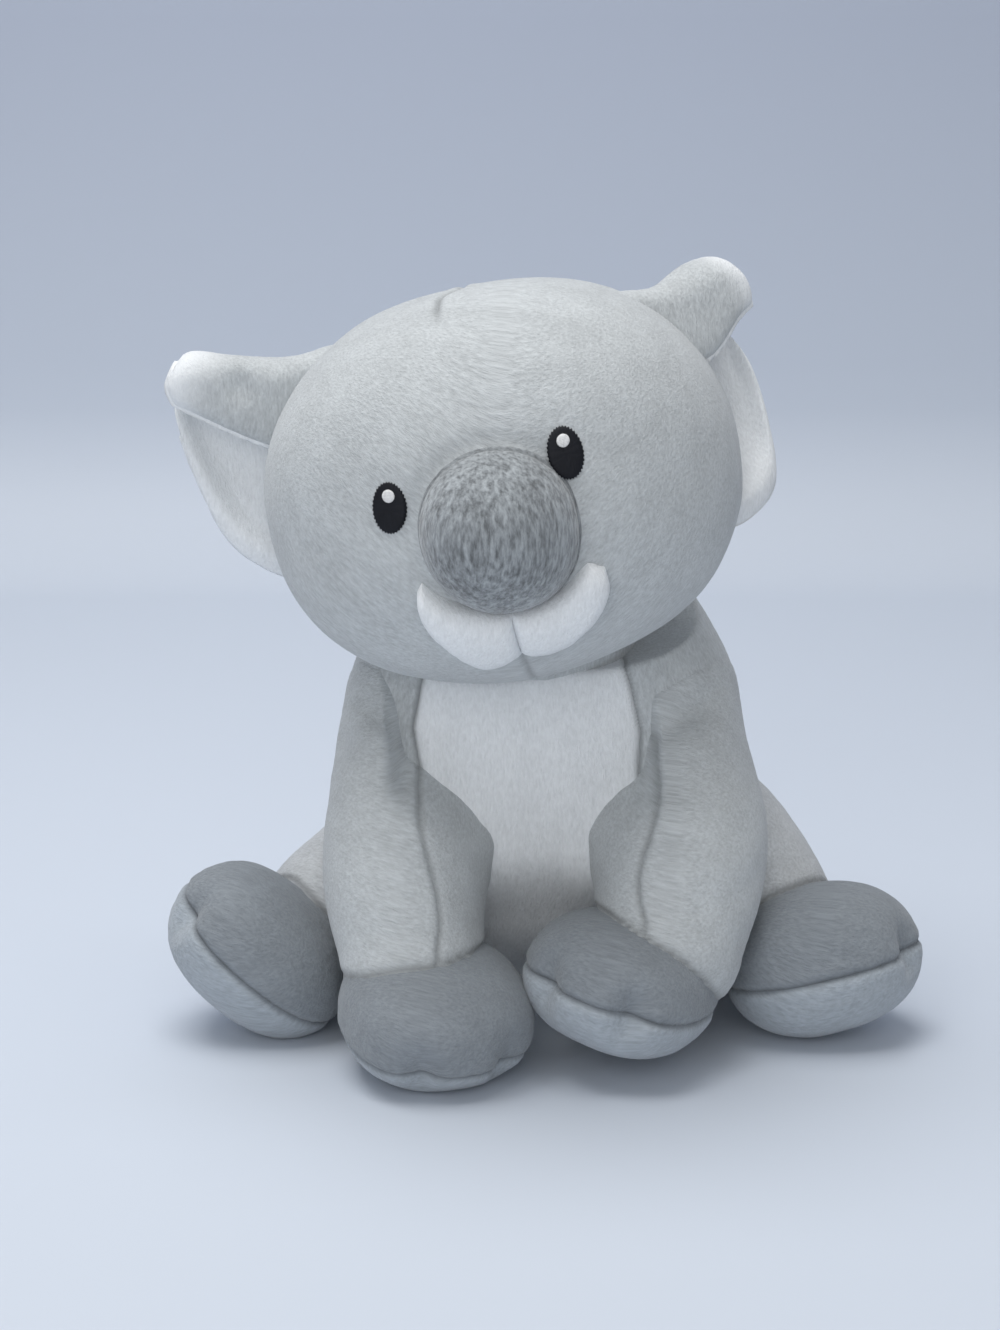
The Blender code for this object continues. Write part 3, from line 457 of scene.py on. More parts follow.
def plush_material(name, colour, contrast, strand=0.0008, sheen=0.30):
    """Short brushed pile: leaning strands, lighter and darker patches, and painted shade along the seams."""
    material = bpy.data.materials.get(name)
    if material is not None:
        return material
    material = bpy.data.materials.new(name)
    material.use_nodes = True
    tree = material.node_tree
    shader = tree.nodes["Principled BSDF"]
    shader.inputs["Roughness"].default_value = 0.92
    shader.inputs["Specular IOR Level"].default_value = 0.15
    shader.inputs["Sheen Weight"].default_value = sheen
    shader.inputs["Sheen Roughness"].default_value = 0.45
    place = tree.nodes.new("ShaderNodeAttribute")
    place.attribute_name = "nap_place"
    patches = noise_node(tree, place, 0.009, 3)
    strands = noise_node(tree, place, strand, 3)
    fibres = noise_node(tree, place, strand * 0.4, 2)
    blend = tree.nodes.new("ShaderNodeMath")
    blend.operation = "MULTIPLY_ADD"
    link(tree, strands, 0, blend, 0)
    blend.inputs[1].default_value = 0.70
    spread = tree.nodes.new("ShaderNodeMath")
    spread.operation = "MULTIPLY"
    link(tree, patches, 0, spread, 0)
    spread.inputs[1].default_value = 0.30
    link(tree, spread, 0, blend, 2)
    tone = tree.nodes.new("ShaderNodeMapRange")
    tone.inputs["From Min"].default_value = 0.36
    tone.inputs["From Max"].default_value = 0.64
    link(tree, blend, 0, tone, 0)
    body = mix_colour(tree, tone, 0, shaded(colour, 1 - contrast), shaded(colour, 1 + contrast))
    fade = tree.nodes.new("ShaderNodeAttribute")
    fade.attribute_name = "fade_mark"
    body = mix_colour(tree, fade, "Fac", body, tuple(bpy.context.scene.plush_colours.white))
    # Painted shade: along the seams, and where a panel sinks under the next, the colour darkens towards 40 %
    # as shade in the grooves.
    mark = tree.nodes.new("ShaderNodeAttribute")
    mark.attribute_name = "seam_mark"
    seam_shade_share = tree.nodes.new("ShaderNodeMath")
    seam_shade_share.operation = "MULTIPLY"
    tree.links.new(mark.outputs["Fac"], seam_shade_share.inputs[0])
    seam_shade_share.inputs[1].default_value = 0.75
    whole = mix_colour(tree, seam_shade_share, 0, body, shaded(colour, 0.40))
    tree.links.new(whole.outputs[2], shader.inputs["Base Color"])
    rough = tree.nodes.new("ShaderNodeBump")
    rough.inputs["Strength"].default_value = 0.8
    rough.inputs["Distance"].default_value = 0.0005
    link(tree, strands, 0, rough, "Height")
    fuzz = tree.nodes.new("ShaderNodeBump")
    fuzz.inputs["Strength"].default_value = 0.7
    fuzz.inputs["Distance"].default_value = 0.0003
    link(tree, fibres, 0, fuzz, "Height")
    link(tree, rough, 0, fuzz, "Normal")
    link(tree, fuzz, 0, shader, "Normal")
    return material


def thread_material(name, colour, roughness):
    """Satin stitches: fine parallel threads with a slight gloss."""
    material = bpy.data.materials.new(name)
    material.use_nodes = True
    tree = material.node_tree
    shader = tree.nodes["Principled BSDF"]
    shader.inputs["Roughness"].default_value = roughness
    shader.inputs["Specular IOR Level"].default_value = 0.25
    place = tree.nodes.new("ShaderNodeAttribute")
    place.attribute_name = "nap_place"
    strands = noise_node(tree, place, 0.0007, 2)
    body = mix_colour(tree, strands, 0, shaded(colour, 0.7), shaded(colour, 1.4))
    tree.links.new(body.outputs[2], shader.inputs["Base Color"])
    rough = tree.nodes.new("ShaderNodeBump")
    rough.inputs["Strength"].default_value = 0.4
    rough.inputs["Distance"].default_value = 0.0002
    link(tree, strands, 0, rough, "Height")
    link(tree, rough, 0, shader, "Normal")
    return material


def fabric(kind):
    colours = bpy.context.scene.plush_colours
    if kind == "nose":
        return plush_material("brushed_nose", tuple(colours.nose), 0.50, 0.0013, 0.45)
    contrast = 0.07 if kind == "white" else 0.15
    return plush_material("brushed_" + kind, tuple(getattr(colours, kind)), contrast)


# Head


def head_place():
    lean = Matrix.Rotation(-HEAD_LEAN, 4, "Y")
    turn = Matrix.Rotation(-HEAD_TURN, 4, "Z")
    return Matrix.Translation(Vector(NECK + HEAD_FROM_NECK)) @ lean @ turn


def nose_place():
    return head_place() @ Matrix.Translation(NOSE_CENTRE)


def head_room(points):
    """Distance outside all the room that the head takes as it tilts and turns."""
    tilts = JOINTS["neck_tilt"]["range_deg"]
    swings = JOINTS["neck_turn"]["range_deg"]
    best = np.full(len(points), 1.0)
    for tilt in (tilts[0], sum(tilts) / 2, tilts[1]):
        for swing in (swings[0], 0, swings[1]):
            turn = Matrix.Rotation(math.radians(swing), 4, "Z") @ Matrix.Rotation(math.radians(tilt), 4, "Y")
            about = Matrix.Translation(Vector(NECK)) @ turn @ Matrix.Translation(Vector(-NECK))
            best = np.minimum(best, blob_depth(points, about @ head_place(), HEAD_HALVES, HEAD_POWER))
    return best


def clear_of_head(skin):
    """Presses the cloth in where the head would reach it as it tilts and turns."""
    middle = np.array(head_place().translation)
    for _ in range(3):
        short = np.maximum(HEAD_GAP - head_room(skin.points), 0)
        away = skin.points - middle
        skin.points += away / np.linalg.norm(away, axis=1, keepdims=True) * short[:, None]


def face_point(across, upward, lift):
    """Points on the face, or lifted off it, from places across and up it."""
    side, _, front, _, down, up = HEAD_HALVES
    height = np.where(upward > 0, up, down)
    rest = 1 - np.abs(across / side) ** HEAD_POWER - np.abs(upward / height) ** HEAD_POWER
    depth = front * np.maximum(rest, 0.0001) ** (1 / HEAD_POWER)
    power = HEAD_POWER - 1
    slope = np.stack(
        [
            np.sign(across) * np.abs(across / side) ** power / side,
            -((depth / front) ** power) / front,
            np.sign(upward) * np.abs(upward / height) ** power / height,
        ],
        axis=1,
    )
    slope /= np.linalg.norm(slope, axis=1, keepdims=True)
    return np.stack([across, -depth, upward], axis=1) + slope * np.reshape(lift, (-1, 1))


def build_head():
    place = head_place()
    directions, faces = ball_grid(HEAD_GRID)
    local = directions * blob_reach(directions, HEAD_HALVES, HEAD_POWER)[:, None]
    skin = Skin(out_of(place, local), faces, (place.translation.x, HEAD_NAP))
    skin.stuff(1, 0.8)
    x, y, z = local.T
    behind = y - SIDE_SEAM_DEPTH
    skin.sew(behind)
    skin.sew(x, rise(behind, 0, 0.004))
    skin.sew(x + 0.006 * rise(-y, 0, 0.012), rise(z, 0.02, 0.03) * rise(y, -0.031, -0.018) * (behind < 0))
    skin.sew(x + 0.0005, 0.6 * rise(-z, 0.036, 0.042) * rise(-y, -SIDE_SEAM_DEPTH, 0) * (y < 0))
    nose = blob_depth(skin.points, nose_place(), NOSE_HALVES, NOSE_POWER)
    skin.push(-0.0012 * bell(nose - 0.001, 0.0035) * (y < 0))
    for across, upward in EYE_PLACE.values():
        near = np.hypot(x - across, z - upward)
        skin.push(-0.0010 * bell(near, 0.0085) * (y < 0))
    skin.brush(1, 0.4)
    head = skin.piece("head_plush", fabric("pale_grey"), "pale_grey_plush")
    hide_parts("face_panel", "back_head_panel_left", "back_head_panel_right", "head_filling")
    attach(head, "head")
    neck_grid, neck_faces = ball_grid(NECK_GRID)
    neck = Skin(NECK + neck_grid * NECK_RADIUS, neck_faces)
    neck.brush(4)
    cover = neck.piece("neck_plush", fabric("pale_grey"), "pale_grey_plush")
    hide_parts("neck_filling")
    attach(cover, "neck")


def build_nose():
    place = nose_place()
    directions, faces = ball_grid(NOSE_GRID)
    local = directions * blob_reach(directions, NOSE_HALVES, NOSE_POWER)[:, None]
    skin = Skin(out_of(place, local), faces)
    x, y, z = local.T
    skin.stuff(7, 0.5)
    tuck = np.hypot(x + 0.001, z + 0.0165)
    skin.push(-0.0016 * bell(tuck, 0.0040) * (y < 0))
    head = blob_depth(skin.points, head_place(), HEAD_HALVES, HEAD_POWER)
    skin.sew(head - 0.0004, (y < 0) * 0.6, 0.0)
    skin.brush(8, 0.8)
    nose = skin.piece("nose_plush", fabric("nose"), "nose_plush")
    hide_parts("nose_panel", "nose_filling")
    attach(nose, "head")


def build_chin():
    """Two white pads under the nose, each a crescent that meets the other in the middle."""
    place = head_place()
    for side, sign in SIDES.items():
        lattice, faces = box_grid(CHIN_GRID)
        along, across, layer = lattice.T
        share = 0.5 + sign * (along + 1) / 4 * 0.985
        inner = spline(CHIN_INNER, share)
        outer = spline(CHIN_OUTER, share)
        mix = ((across + 1) / 2)[:, None]
        spot = inner + (outer - inner) * mix
        end = np.abs(along)
        end = np.where(along > 0, end, end * 0.985)
        taper = np.sqrt(np.maximum(1 - np.where(along > 0, end, end**3) ** 3, 0))
        dome = taper * np.sqrt(np.maximum(1 - np.abs(across) ** 2.6, 0))
        lift = np.where(layer > 0, CHIN_LIFT * dome - 0.0006, -0.0030)
        lift = np.where(layer == 0, -0.0018, lift)
        skin = Skin(out_of(place, face_point(spot[:, 0], spot[:, 1], lift)), faces)
        skin.brush(11 + sign, 2.0)
        pad = skin.piece("chin_plush_" + side, fabric("white"), "white_plush")
        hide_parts("chin_patch_" + side)
        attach(pad, "head")


def stitched_disc(name, centre, halves, lean, lift, thick, material, slot, node):
    """A raised oval of satin stitches on the face."""
    lattice, faces = box_grid(STITCH_GRID)
    u, v, layer = lattice.T
    square = np.maximum(np.abs(u), np.abs(v))
    around = np.arctan2(v, u)
    across = halves[0] * square * np.cos(around)
    upward = halves[1] * square * np.sin(around)
    dome = np.sqrt(np.maximum(1 - square**4, 0))
    ridge = 0.00007 * np.cos(upward / 0.00042 * 2 * math.pi) * dome
    ragged = 1 + 0.035 * np.sin(around * 37) * (square > 0.9)
    x = centre[0] + (across * math.cos(lean) - upward * math.sin(lean)) * ragged
    z = centre[1] + (across * math.sin(lean) + upward * math.cos(lean)) * ragged
    height = np.where(layer > 0, lift + thick * dome + ridge, lift - thick)
    skin = Skin(out_of(head_place(), face_point(x, z, height)), faces)
    disc = skin.piece(name, material, slot)
    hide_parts(node)
    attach(disc, "head")


def build_eyes():
    colours = bpy.context.scene.plush_colours
    black = thread_material("stitched_black", tuple(colours.black), 0.60)
    white = thread_material("stitched_white", tuple(colours.thread), 0.5)
    for side, centre in EYE_PLACE.items():
        lean = EYE_LEAN[side]
        name, node = f"eye_stitch_{side}", f"eye_{side}"
        stitched_disc(name, centre, EYE_HALF, lean, -0.0005, 0.0008, black, "black_thread", node)
        spot = (centre[0] - GLINT_RISE * math.sin(lean), centre[1] + GLINT_RISE * math.cos(lean))
        halves = (GLINT_RADIUS, GLINT_RADIUS)
        name, node = f"eye_glint_{side}", f"eye_highlight_{side}"
        stitched_disc(name, spot, halves, lean, 0.0001, 0.0006, white, "white_thread", node)


# Ears


def ear_turn(side):
    """The place of an ear, turned back about the seam at its root."""
    sign = SIDES[side]
    joint = JOINTS[f"ear_flop_{side}"]
    pivot = Vector(joint["pos_m"])
    turn = Matrix.Rotation(sign * EAR_TURN[side], 4, Vector(joint["axis"]))
    return Matrix.Translation(pivot) @ turn @ Matrix.Translation(-pivot) @ head_place()


def build_ear(side):
    sign = SIDES[side]
    place = ear_turn(side)
    for layer, facing, colour in (("outer", 1, "pale_grey"), ("inner", -1, "white")):
        lattice, faces = box_grid(EAR_GRID)
        along, across, level = lattice.T
        lining = layer == "inner"
        corner = np.clip((np.abs(across - 0.05) - 0.55) / 0.45, 0, 1)
        share = (along + 1) / 2 * (1 if lining else 0.985) * (1 - 0.13 * (1 - np.sqrt(1 - corner**2)))
        crest = spline(EAR_CREST[side], share)
        edge = spline(EAR_EDGE[side], share)
        bend = spline(EAR_BEND[side], share)
        flap = spline(EAR_FLAP[side], share) + EAR_RIM * lining / 2
        span = np.linalg.norm(crest - edge, axis=1)
        up = (crest - edge) / span[:, None]
        straight = span - bend
        arc = math.pi * bend
        reach = (across + 1) / 2 * (straight + arc + flap + EAR_RIM * lining) - EAR_RIM * lining
        angle = np.clip((reach - straight) / bend, 0, math.pi)
        past = np.maximum(reach - straight - arc, 0)
        height = np.minimum(reach, straight) + bend * np.sin(angle) - past
        forward = bend * (1 - np.cos(angle))
        cup = 0.0060 * np.sin(math.pi * np.clip(reach / straight, 0, 1)) * rise(share, 0.1, 0.6)
        rim = np.sqrt(np.maximum(1 - np.abs(across) ** 12, 0))
        rim = rim * np.sqrt(np.maximum(1 - np.maximum(along, 0) ** 10, 0))
        roll = bell(reach - 0.0040, 0.0040) * lining
        full = EAR_LAYER * (1 + 0.5 * rise(share, 0.75, 1.0)) + EAR_RIM * roll
        offset = np.where(level > 0, full, -0.0006) * rim * facing
        shift = edge + up * (height + offset * np.sin(angle))[:, None]
        depth = EAR_DEPTH - forward + offset * np.cos(angle) + cup
        local = np.stack([sign * shift[:, 0], depth, shift[:, 1]], axis=1)
        skin = Skin(out_of(place, local), faces)
        skin.fade = rise(share, 0.70, 0.97) * rise(reach / straight, 0.7, 1.1)
        skin.stuff(21 + sign, 0.9)
        if side == "left":
            dent = np.linalg.norm(local - np.array(EAR_DIMPLE), axis=1)
            skin.points += np.array((0, 0.0026, -0.0008)) * bell(dent, 0.0050)[:, None]
        skin.brush(23 + sign)
        ear = skin.piece(f"ear_{layer}_plush_{side}", fabric(colour), f"{colour}_plush")
        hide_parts(f"ear_{layer}_{side}")
        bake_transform(ear)


def build_ears():
    for side in SIDES:
        build_ear(side)


# Body


def arm_line(side):
    return [ARM_TOP[side], ARM_MIDDLE[side], tuple(WRIST[side])]


def leg_line(side):
    sign = SIDES[side]
    hip, ankle = HIP[side], ANKLE[side]
    bend = np.array(LEG_MIDDLE[side]) * (sign, 1, 1)
    return [tuple(hip), tuple((hip + ankle) / 2 + bend), tuple(ankle)]


def body_depth(points):
    return blob_depth(points, Matrix.Translation(BODY_CENTRE), BODY_HALVES, BODY_POWER)


def fillet(depth):
    """How much fuller the cloth stands where another stuffed form joins it."""
    reach = bpy.context.scene.plush_sizes.fillet
    return reach / 4 * np.clip(1 - np.abs(depth) / reach, 0, 1) ** 2


def tucked(points, side):
    """Goes from 0 on the arm to 1 where its inner side is sewn in behind the white front panel."""
    across, height = ARM_TUCK[side]
    x, y, z = points.T
    inward = -SIDES[side] * x
    start = -SIDES[side] * (across[0] if side == "left" else across[-1])
    above = z - np.interp(x, across, height)
    return rise(above, -0.014, 0.001) * rise(inward, start, start + 0.007) * (y < 0.010)


def way_back(points):
    """How far straight back each point lies before it is just under the body's cloth."""
    moved = points.copy()
    for _ in range(14):
        moved[:, 1] += np.maximum(body_depth(moved) + 0.004, 0)
    return np.minimum(moved[:, 1] - points[:, 1], 0.045)


def body_skin(count):
    directions, faces = ball_grid(count)
    centre = np.array(BODY_CENTRE)
    own = blob_reach(directions, BODY_HALVES, BODY_POWER)
    low, high = own * 0.2, own * 1.3
    for _ in range(24):
        middle = (low + high) / 2
        clear = head_room(centre + directions * middle[:, None]) > 0.0012
        low, high = np.where(clear, middle, low), np.where(clear, high, middle)
    soft = 0.004
    forward = -directions[:, 1]
    reach = np.minimum(own, low) - np.maximum(soft - np.abs(own - low), 0) ** 2 / (4 * soft)
    skin = Skin(centre + directions * reach[:, None], faces)
    x, _, z = skin.points.T
    skin.push(-0.009 * rise(-z, -0.060, -0.030) * bell(x, 0.034) * rise(forward, 0.1, 0.5))
    for side in SIDES:
        arm = fillet(limb_depth(skin.points, arm_line(side), ARM_RADII[side]))
        skin.push(arm * 0.8 * (1 - tucked(skin.points, side)))
        skin.push(fillet(limb_depth(skin.points, leg_line(side), LEG_RADII[side])) * 0.8)
    return skin


def belly_edge(points):
    """Distance inside the white front panel's edge, below zero outside it."""
    x, y, z = points.T
    left = np.interp(z, BELLY_HEIGHT, BELLY_LEFT)
    right = np.interp(z, BELLY_HEIGHT, BELLY_RIGHT)
    return np.minimum(np.minimum(x - left, right - x), BELLY_BACK - y)


def build_body():
    nodes = {"belly": ("belly_panel",), "side": ("side_panel_left", "side_panel_right", "body_filling")}
    for panel, facing, colour in (("side", -1, "pale_grey"), ("belly", 1, "white")):
        skin = body_skin(BODY_GRID)
        skin.stuff(31)
        for start, end, depth, width in FOLDS:
            skin.crease(start, end, depth, width)
        inside = facing * belly_edge(skin.points)
        back = rise(skin.points[:, 1], 0.0, 0.01)
        x = skin.points[:, 0]
        skin.panel(inside)
        if panel == "side":
            skin.sew(x, back)
        skin.brush(33)
        clear_of_head(skin)
        piece = skin.piece(f"{panel}_plush", fabric(colour), f"{colour}_plush")
        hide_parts(*nodes[panel])
        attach(piece, "torso")


# Limbs


def limb_skin(middle, radii, counts):
    """A stuffed tube with round ends, and for each point its share along and its angle around."""
    lattice, faces = box_grid(counts)
    share = (lattice[:, 0] + 1) / 2
    edge = np.maximum(np.abs(lattice[:, 1]), np.abs(lattice[:, 2]))
    around = np.arctan2(np.tan(lattice[:, 2] * math.pi / 4), np.tan(lattice[:, 1] * math.pi / 4))
    polar = np.where(np.abs(lattice[:, 0]) == 1, edge, 1) * math.pi / 2
    centre = spline(middle, share)
    step = spline(middle, np.minimum(share + 0.01, 1)) - spline(middle, np.maximum(share - 0.01, 0))
    axis = step / np.linalg.norm(step, axis=1, keepdims=True)
    side = np.cross(np.array((0, 0, 1)), axis)
    side /= np.linalg.norm(side, axis=1, keepdims=True)
    front = np.cross(axis, side)
    radius = spline(radii, share)[:, None]
    ring = side * np.cos(around)[:, None] + front * np.sin(around)[:, None]
    cap = axis * (np.sign(lattice[:, 0]) * np.cos(polar))[:, None]
    points = centre + radius * (ring * np.sin(polar)[:, None] + cap)
    return Skin(points, faces, (centre[0][0], LIMB_NAP)), share, around


def paw_place(side):
    sign = SIDES[side]
    forward = Matrix.Rotation(math.radians(-90) - sign * PAW_TURN[side], 4, "Z")
    pitch = Matrix.Rotation(-PAW_PITCH[side], 4, "Y")
    return Matrix.Translation(PAW_CENTRE[side]) @ forward @ pitch @ Matrix.Rotation(PAW_ROLL[side], 4, "X")


def foot_place(side):
    sign = SIDES[side]
    forward = Matrix.Rotation(0 if sign > 0 else math.pi, 4, "Z")
    pitch = Matrix.Rotation(-FOOT_PITCH[side], 4, "Y")
    roll = Matrix.Rotation(sign * FOOT_ROLL[side], 4, "X")
    return Matrix.Translation(FOOT_CENTRE[side]) @ forward @ pitch @ roll


def build_arm(side):
    sign = SIDES[side]
    skin, share, around = limb_skin(arm_line(side), ARM_RADII[side], ARM_GRID)
    body = body_depth(skin.points)
    sunk = tucked(skin.points, side)
    skin.push(fillet(body) * 0.9 * (1 - sunk))
    skin.points[:, 1] += sunk * way_back(skin.points)
    skin.stuff(31)
    for start, end, depth, width in FOLDS:
        skin.crease(start, end, depth, width)
    radius = spline(ARM_RADII[side], share)
    top, bottom = ARM_SEAM[side]
    inner = math.radians(90) + sign * (top + (bottom - top) * share)
    for angle in (inner, inner - math.pi):
        turn = np.abs((around - angle + math.pi) % (2 * math.pi) - math.pi)
        skin.sew(turn * radius, rise(share, 0.16, 0.26) * 0.8, 0.1)
    skin.sew(blob_depth(skin.points, paw_place(side), PAW_HALVES, PILLOW_POWER) - 0.0006, 1.0, 0.0)
    skin.brush(33)
    clear_of_head(skin)
    arm = skin.piece(f"arm_plush_{side}", fabric("pale_grey"), "pale_grey_plush")
    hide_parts(f"arm_outer_panel_{side}", f"arm_inner_panel_{side}", f"arm_filling_{side}")
    start = Vector(ARM_TOP[side])
    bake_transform(arm)


def build_leg(side):
    skin, _, _ = limb_skin(leg_line(side), LEG_RADII[side], LEG_GRID)
    skin.push(fillet(body_depth(skin.points)) * 0.9)
    skin.stuff(31)
    skin.sew(body_depth(skin.points) - 0.002, 1.0, 0.0)
    skin.sew(blob_depth(skin.points, foot_place(side), FOOT_HALVES[side], PILLOW_POWER) - 0.0006, 1.0, 0.0)
    skin.brush(33)
    leg = skin.piece(f"leg_plush_{side}", fabric("off_white"), "off_white_plush")
    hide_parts(f"leg_upper_panel_{side}", f"leg_under_panel_{side}", f"leg_filling_{side}")
    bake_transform(leg)


def pillow(place, halves, seam, count):
    """A stuffed paw with two notches between three toes."""
    directions, faces = ball_grid(count)
    local = directions * blob_reach(directions, halves, PILLOW_POWER)[:, None]
    around = np.arctan2(local[:, 1] / halves[2], local[:, 0] / halves[1])
    pinch = sum(bell(around - angle, TOE_WIDTH) for angle in (-TOE_ANGLE, TOE_ANGLE))
    out = np.hypot(local[:, 0] / halves[1], local[:, 1] / halves[2])
    narrow = 1 - TOE_NOTCH_SHARE * pinch * rise(out, 0.70, 0.95) * bell(local[:, 2] - seam, 0.009)
    local[:, :2] *= narrow[:, None]
    return Skin(out_of(place, local), faces, (place.translation.x, LIMB_NAP)), local


def build_pillow(kind, side, place, halves, seam, seed):
    """The top and the sole of a paw, sewn together round its edge."""
    # The sole panel takes the lighter sole colour, which is the dark grey with painted light from below.
    for layer, facing, colour in (("top", 1, "dark_grey"), ("sole", -1, "sole")):
        skin, local = pillow(place, halves, seam, PILLOW_GRID)
        skin.stuff(seed, 0.8)
        skin.panel(facing * (local[:, 2] - seam))
        skin.brush(seed + 2, 1.3)
        piece = skin.piece(f"{kind}_{layer}_plush_{side}", fabric(colour), f"{colour}_plush")
        nodes = [f"{kind}_{layer}_{side}"] + ([f"{kind}_filling_{side}"] if layer == "sole" else [])
        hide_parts(*nodes)
        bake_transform(piece)


def build_arms():
    for side in SIDES:
        build_arm(side)


def build_paws():
    for side in SIDES:
        seed = 61 + SIDES[side]
        build_pillow("paw", side, paw_place(side), PAW_HALVES, PAW_SEAM[side], seed)


def build_legs():
    for side in SIDES:
        build_leg(side)


def build_feet():
    for side in SIDES:
        seed = 71 + SIDES[side]
        build_pillow("foot", side, foot_place(side), FOOT_HALVES[side], 0.0, seed)


# Stage


def build_stage():
    bend = 0.10
    path = [(TABLE_FRONT, 0.0), (TABLE_BACK - bend, 0.0)]
    for a in np.linspace(0.1, 1.5, 14):
        path.append((TABLE_BACK - bend + bend * math.sin(a), bend - bend * math.cos(a)))
    path += [(TABLE_BACK, bend + 0.02), (TABLE_BACK, WALL_HEIGHT)]
    points = [(x, y, z) for x in (-TABLE_HALF_WIDTH, TABLE_HALF_WIDTH) for y, z in path]
    count = len(path)
    faces = [(i, i + count, i + count + 1, i + 1) for i in range(count - 1)]
    mesh = bpy.data.meshes.new("sweep")
    mesh.from_pydata(points, [], faces)
    mesh.shade_smooth()
    sweep = bpy.data.objects.new("sweep", mesh)
    bpy.context.scene.collection.objects.link(sweep)
    material = bpy.data.materials.new("sweep_paint")
    material.use_nodes = True
    tree = material.node_tree
    shader = tree.nodes["Principled BSDF"]
    shader.inputs["Roughness"].default_value = 0.55
    shader.inputs["Specular IOR Level"].default_value = 0.25
    place = tree.nodes.new("ShaderNodeTexCoord")
    split = tree.nodes.new("ShaderNodeSeparateXYZ")
    tree.links.new(place.outputs["Object"], split.inputs[0])
    climb = tree.nodes.new("ShaderNodeMapRange")
    climb.inputs["From Min"].default_value = 0.0
    climb.inputs["From Max"].default_value = 0.32
    tree.links.new(split.outputs["Z"], climb.inputs[0])
    paint = mix_colour(tree, climb, 0, (0.620, 0.672, 0.750), (0.425, 0.468, 0.560))
    tree.links.new(paint.outputs[2], shader.inputs["Base Color"])
    side = tree.nodes.new("ShaderNodeNewGeometry")
    clear = tree.nodes.new("ShaderNodeBsdfTransparent")
    either = tree.nodes.new("ShaderNodeMixShader")
    tree.links.new(side.outputs["Backfacing"], either.inputs[0])
    link(tree, shader, 0, either, 1)
    link(tree, clear, 0, either, 2)
    link(tree, either, 0, tree.nodes["Material Output"], "Surface")
    mesh.materials.append(material)

    world = bpy.data.worlds.new("studio")
    world.use_nodes = True
    world.node_tree.nodes["Background"].inputs["Color"].default_value = (0.97, 0.98, 1.0, 1)
    world.node_tree.nodes["Background"].inputs["Strength"].default_value = 0.37
    bpy.context.scene.world = world
    lamps = (("key", (-0.20, -0.02, 1.25), 0.9, 12.0), ("fill", (-0.25, -1.25, 0.50), 1.1, 4.6))
    for name, spot, size, power in lamps:
        lamp = bpy.data.lights.new(name, "AREA")
        lamp.size = size
        lamp.energy = power
        item = bpy.data.objects.new(name, lamp)
        item.location = spot
        aim = Vector((0, 0, 0.12)) - Vector(spot)
        item.rotation_euler = aim.to_track_quat("-Z", "Y").to_euler()
        bpy.context.scene.collection.objects.link(item)

    lens = bpy.data.cameras.new("camera")
    lens.sensor_fit = "HORIZONTAL"
    lens.sensor_width = 36
    lens.lens = CAMERA_LENS
    camera = bpy.data.objects.new("camera", lens)
    back = Vector((0, -math.cos(CAMERA_DROP), math.sin(CAMERA_DROP)))
    camera.location = Vector(CAMERA_TARGET) + back * CAMERA_DISTANCE
    camera.rotation_euler = (math.pi / 2 - CAMERA_DROP, 0, 0)
    bpy.context.scene.collection.objects.link(camera)
    bpy.context.scene.camera = camera
    bpy.context.scene.view_settings.view_transform = "Standard"


class PieceOperator:
    """What every operator here shares."""

    bl_options = {"REGISTER", "UNDO"}


class PLUSH_OT_stage(PieceOperator, bpy.types.Operator):
    """Table, backdrop, lamps and camera"""

    bl_idname = "plush_koala.stage"
    bl_label = "Stage"

    def execute(self, context):
        build_stage()
        return {"FINISHED"}


class PLUSH_OT_head(PieceOperator, bpy.types.Operator):
    """Head and neck with their seams"""

    bl_idname = "plush_koala.head"
    bl_label = "Head"

    def execute(self, context):
        build_head()
        return {"FINISHED"}


class PLUSH_OT_nose(PieceOperator, bpy.types.Operator):
    """Round nose with ruffled pile"""

    bl_idname = "plush_koala.nose"
    bl_label = "Nose"

    def execute(self, context):
        build_nose()
        return {"FINISHED"}


class PLUSH_OT_chin(PieceOperator, bpy.types.Operator):
    """White pads under the nose"""

    bl_idname = "plush_koala.chin"
    bl_label = "Chin pads"

    def execute(self, context):
        build_chin()
        return {"FINISHED"}


class PLUSH_OT_eyes(PieceOperator, bpy.types.Operator):
    """Stitched eyes with their highlights"""

    bl_idname = "plush_koala.eyes"
    bl_label = "Eyes"

    def execute(self, context):
        build_eyes()
        return {"FINISHED"}


class PLUSH_OT_ears(PieceOperator, bpy.types.Operator):
    """Folded ears in two layers"""

    bl_idname = "plush_koala.ears"
    bl_label = "Ears"

    def execute(self, context):
        build_ears()
        return {"FINISHED"}


class PLUSH_OT_body(PieceOperator, bpy.types.Operator):
    """Body with its white front panel"""

    bl_idname = "plush_koala.body"
    bl_label = "Body"

    def execute(self, context):
        build_body()
        return {"FINISHED"}


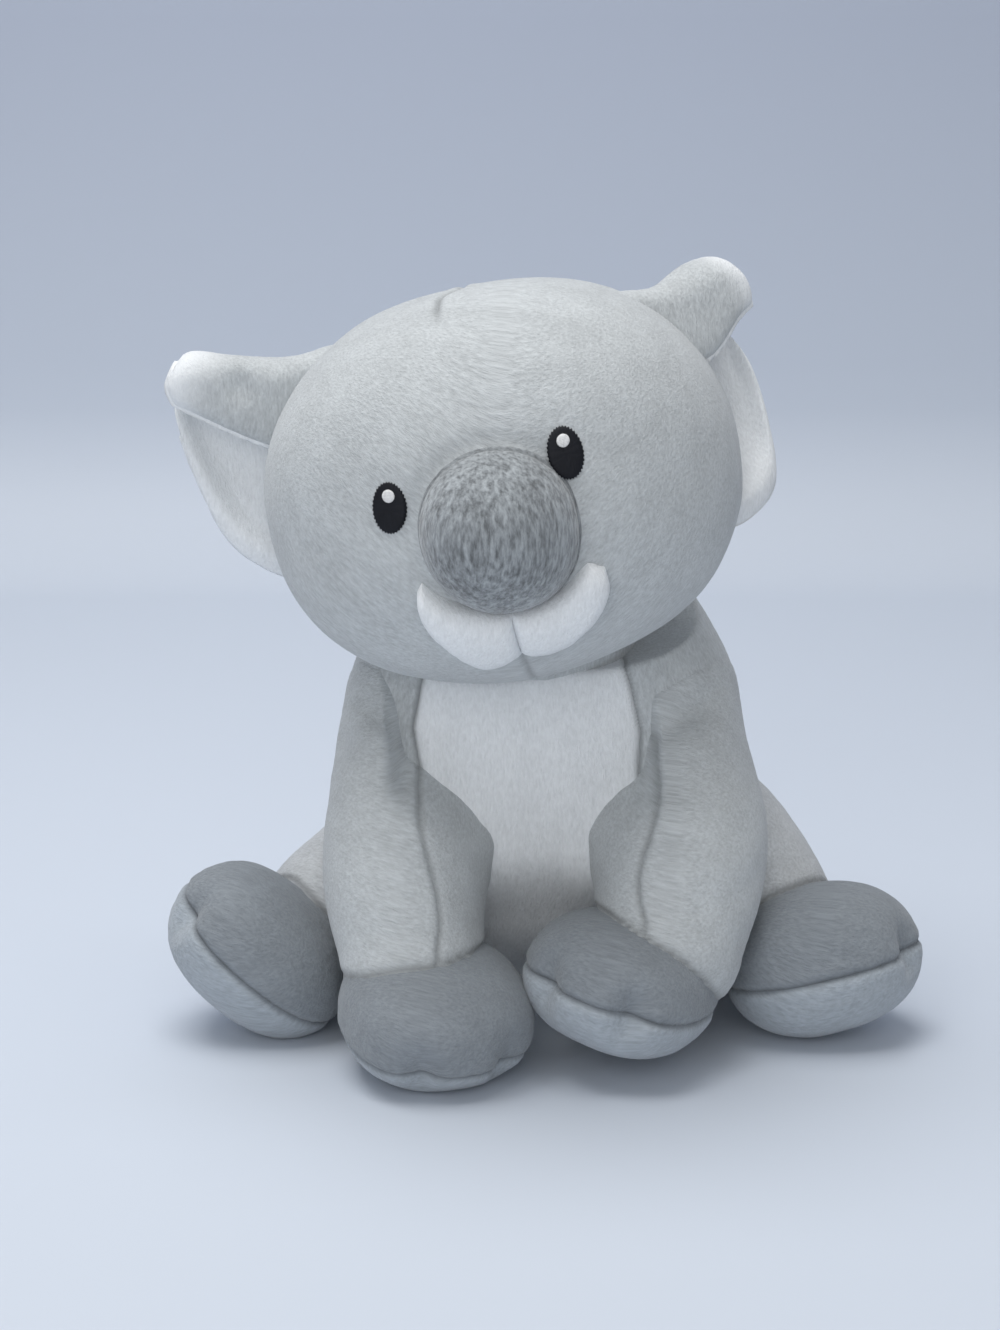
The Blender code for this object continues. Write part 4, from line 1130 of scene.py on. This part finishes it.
class PLUSH_OT_arms(PieceOperator, bpy.types.Operator):
    """Arms from the shoulders down to the wrists"""

    bl_idname = "plush_koala.arms"
    bl_label = "Arms"

    def execute(self, context):
        build_arms()
        return {"FINISHED"}


class PLUSH_OT_paws(PieceOperator, bpy.types.Operator):
    """Front paws with tops and soles"""

    bl_idname = "plush_koala.paws"
    bl_label = "Paws"

    def execute(self, context):
        build_paws()
        return {"FINISHED"}


class PLUSH_OT_legs(PieceOperator, bpy.types.Operator):
    """Thighs that lie out to the sides"""

    bl_idname = "plush_koala.legs"
    bl_label = "Legs"

    def execute(self, context):
        build_legs()
        return {"FINISHED"}


class PLUSH_OT_feet(PieceOperator, bpy.types.Operator):
    """Hind feet with tops and soles"""

    bl_idname = "plush_koala.feet"
    bl_label = "Feet"

    def execute(self, context):
        build_feet()
        return {"FINISHED"}


STEPS = (
    PLUSH_OT_stage, PLUSH_OT_head, PLUSH_OT_nose, PLUSH_OT_chin, PLUSH_OT_eyes, PLUSH_OT_ears,
    PLUSH_OT_body, PLUSH_OT_arms, PLUSH_OT_paws, PLUSH_OT_legs, PLUSH_OT_feet,
)


class PLUSH_PT_panel(bpy.types.Panel):
    """Lists the steps that dress the toy"""

    bl_idname = "PLUSH_PT_panel"
    bl_label = "Plush Koala"
    bl_space_type = "VIEW_3D"
    bl_region_type = "UI"
    bl_category = "Plush Koala"

    def draw(self, context):
        for group in (context.scene.plush_sizes, context.scene.plush_colours):
            for name in group.__annotations__:
                self.layout.prop(group, name)
        for step in STEPS:
            self.layout.operator(step.bl_idname)


CLASSES = (PlushSizes, PlushColours, *STEPS, PLUSH_PT_panel)


def register():
    for item in CLASSES:
        bpy.utils.register_class(item)
    bpy.types.Scene.plush_sizes = PointerProperty(type=PlushSizes)
    bpy.types.Scene.plush_colours = PointerProperty(type=PlushColours)


def unregister():
    del bpy.types.Scene.plush_colours
    del bpy.types.Scene.plush_sizes
    for item in reversed(CLASSES):
        bpy.utils.unregister_class(item)


def main():
    register()
    for step in STEPS:
        getattr(bpy.ops.plush_koala, step.bl_idname.split(".")[1])()


if __name__ == "__main__":
    main()
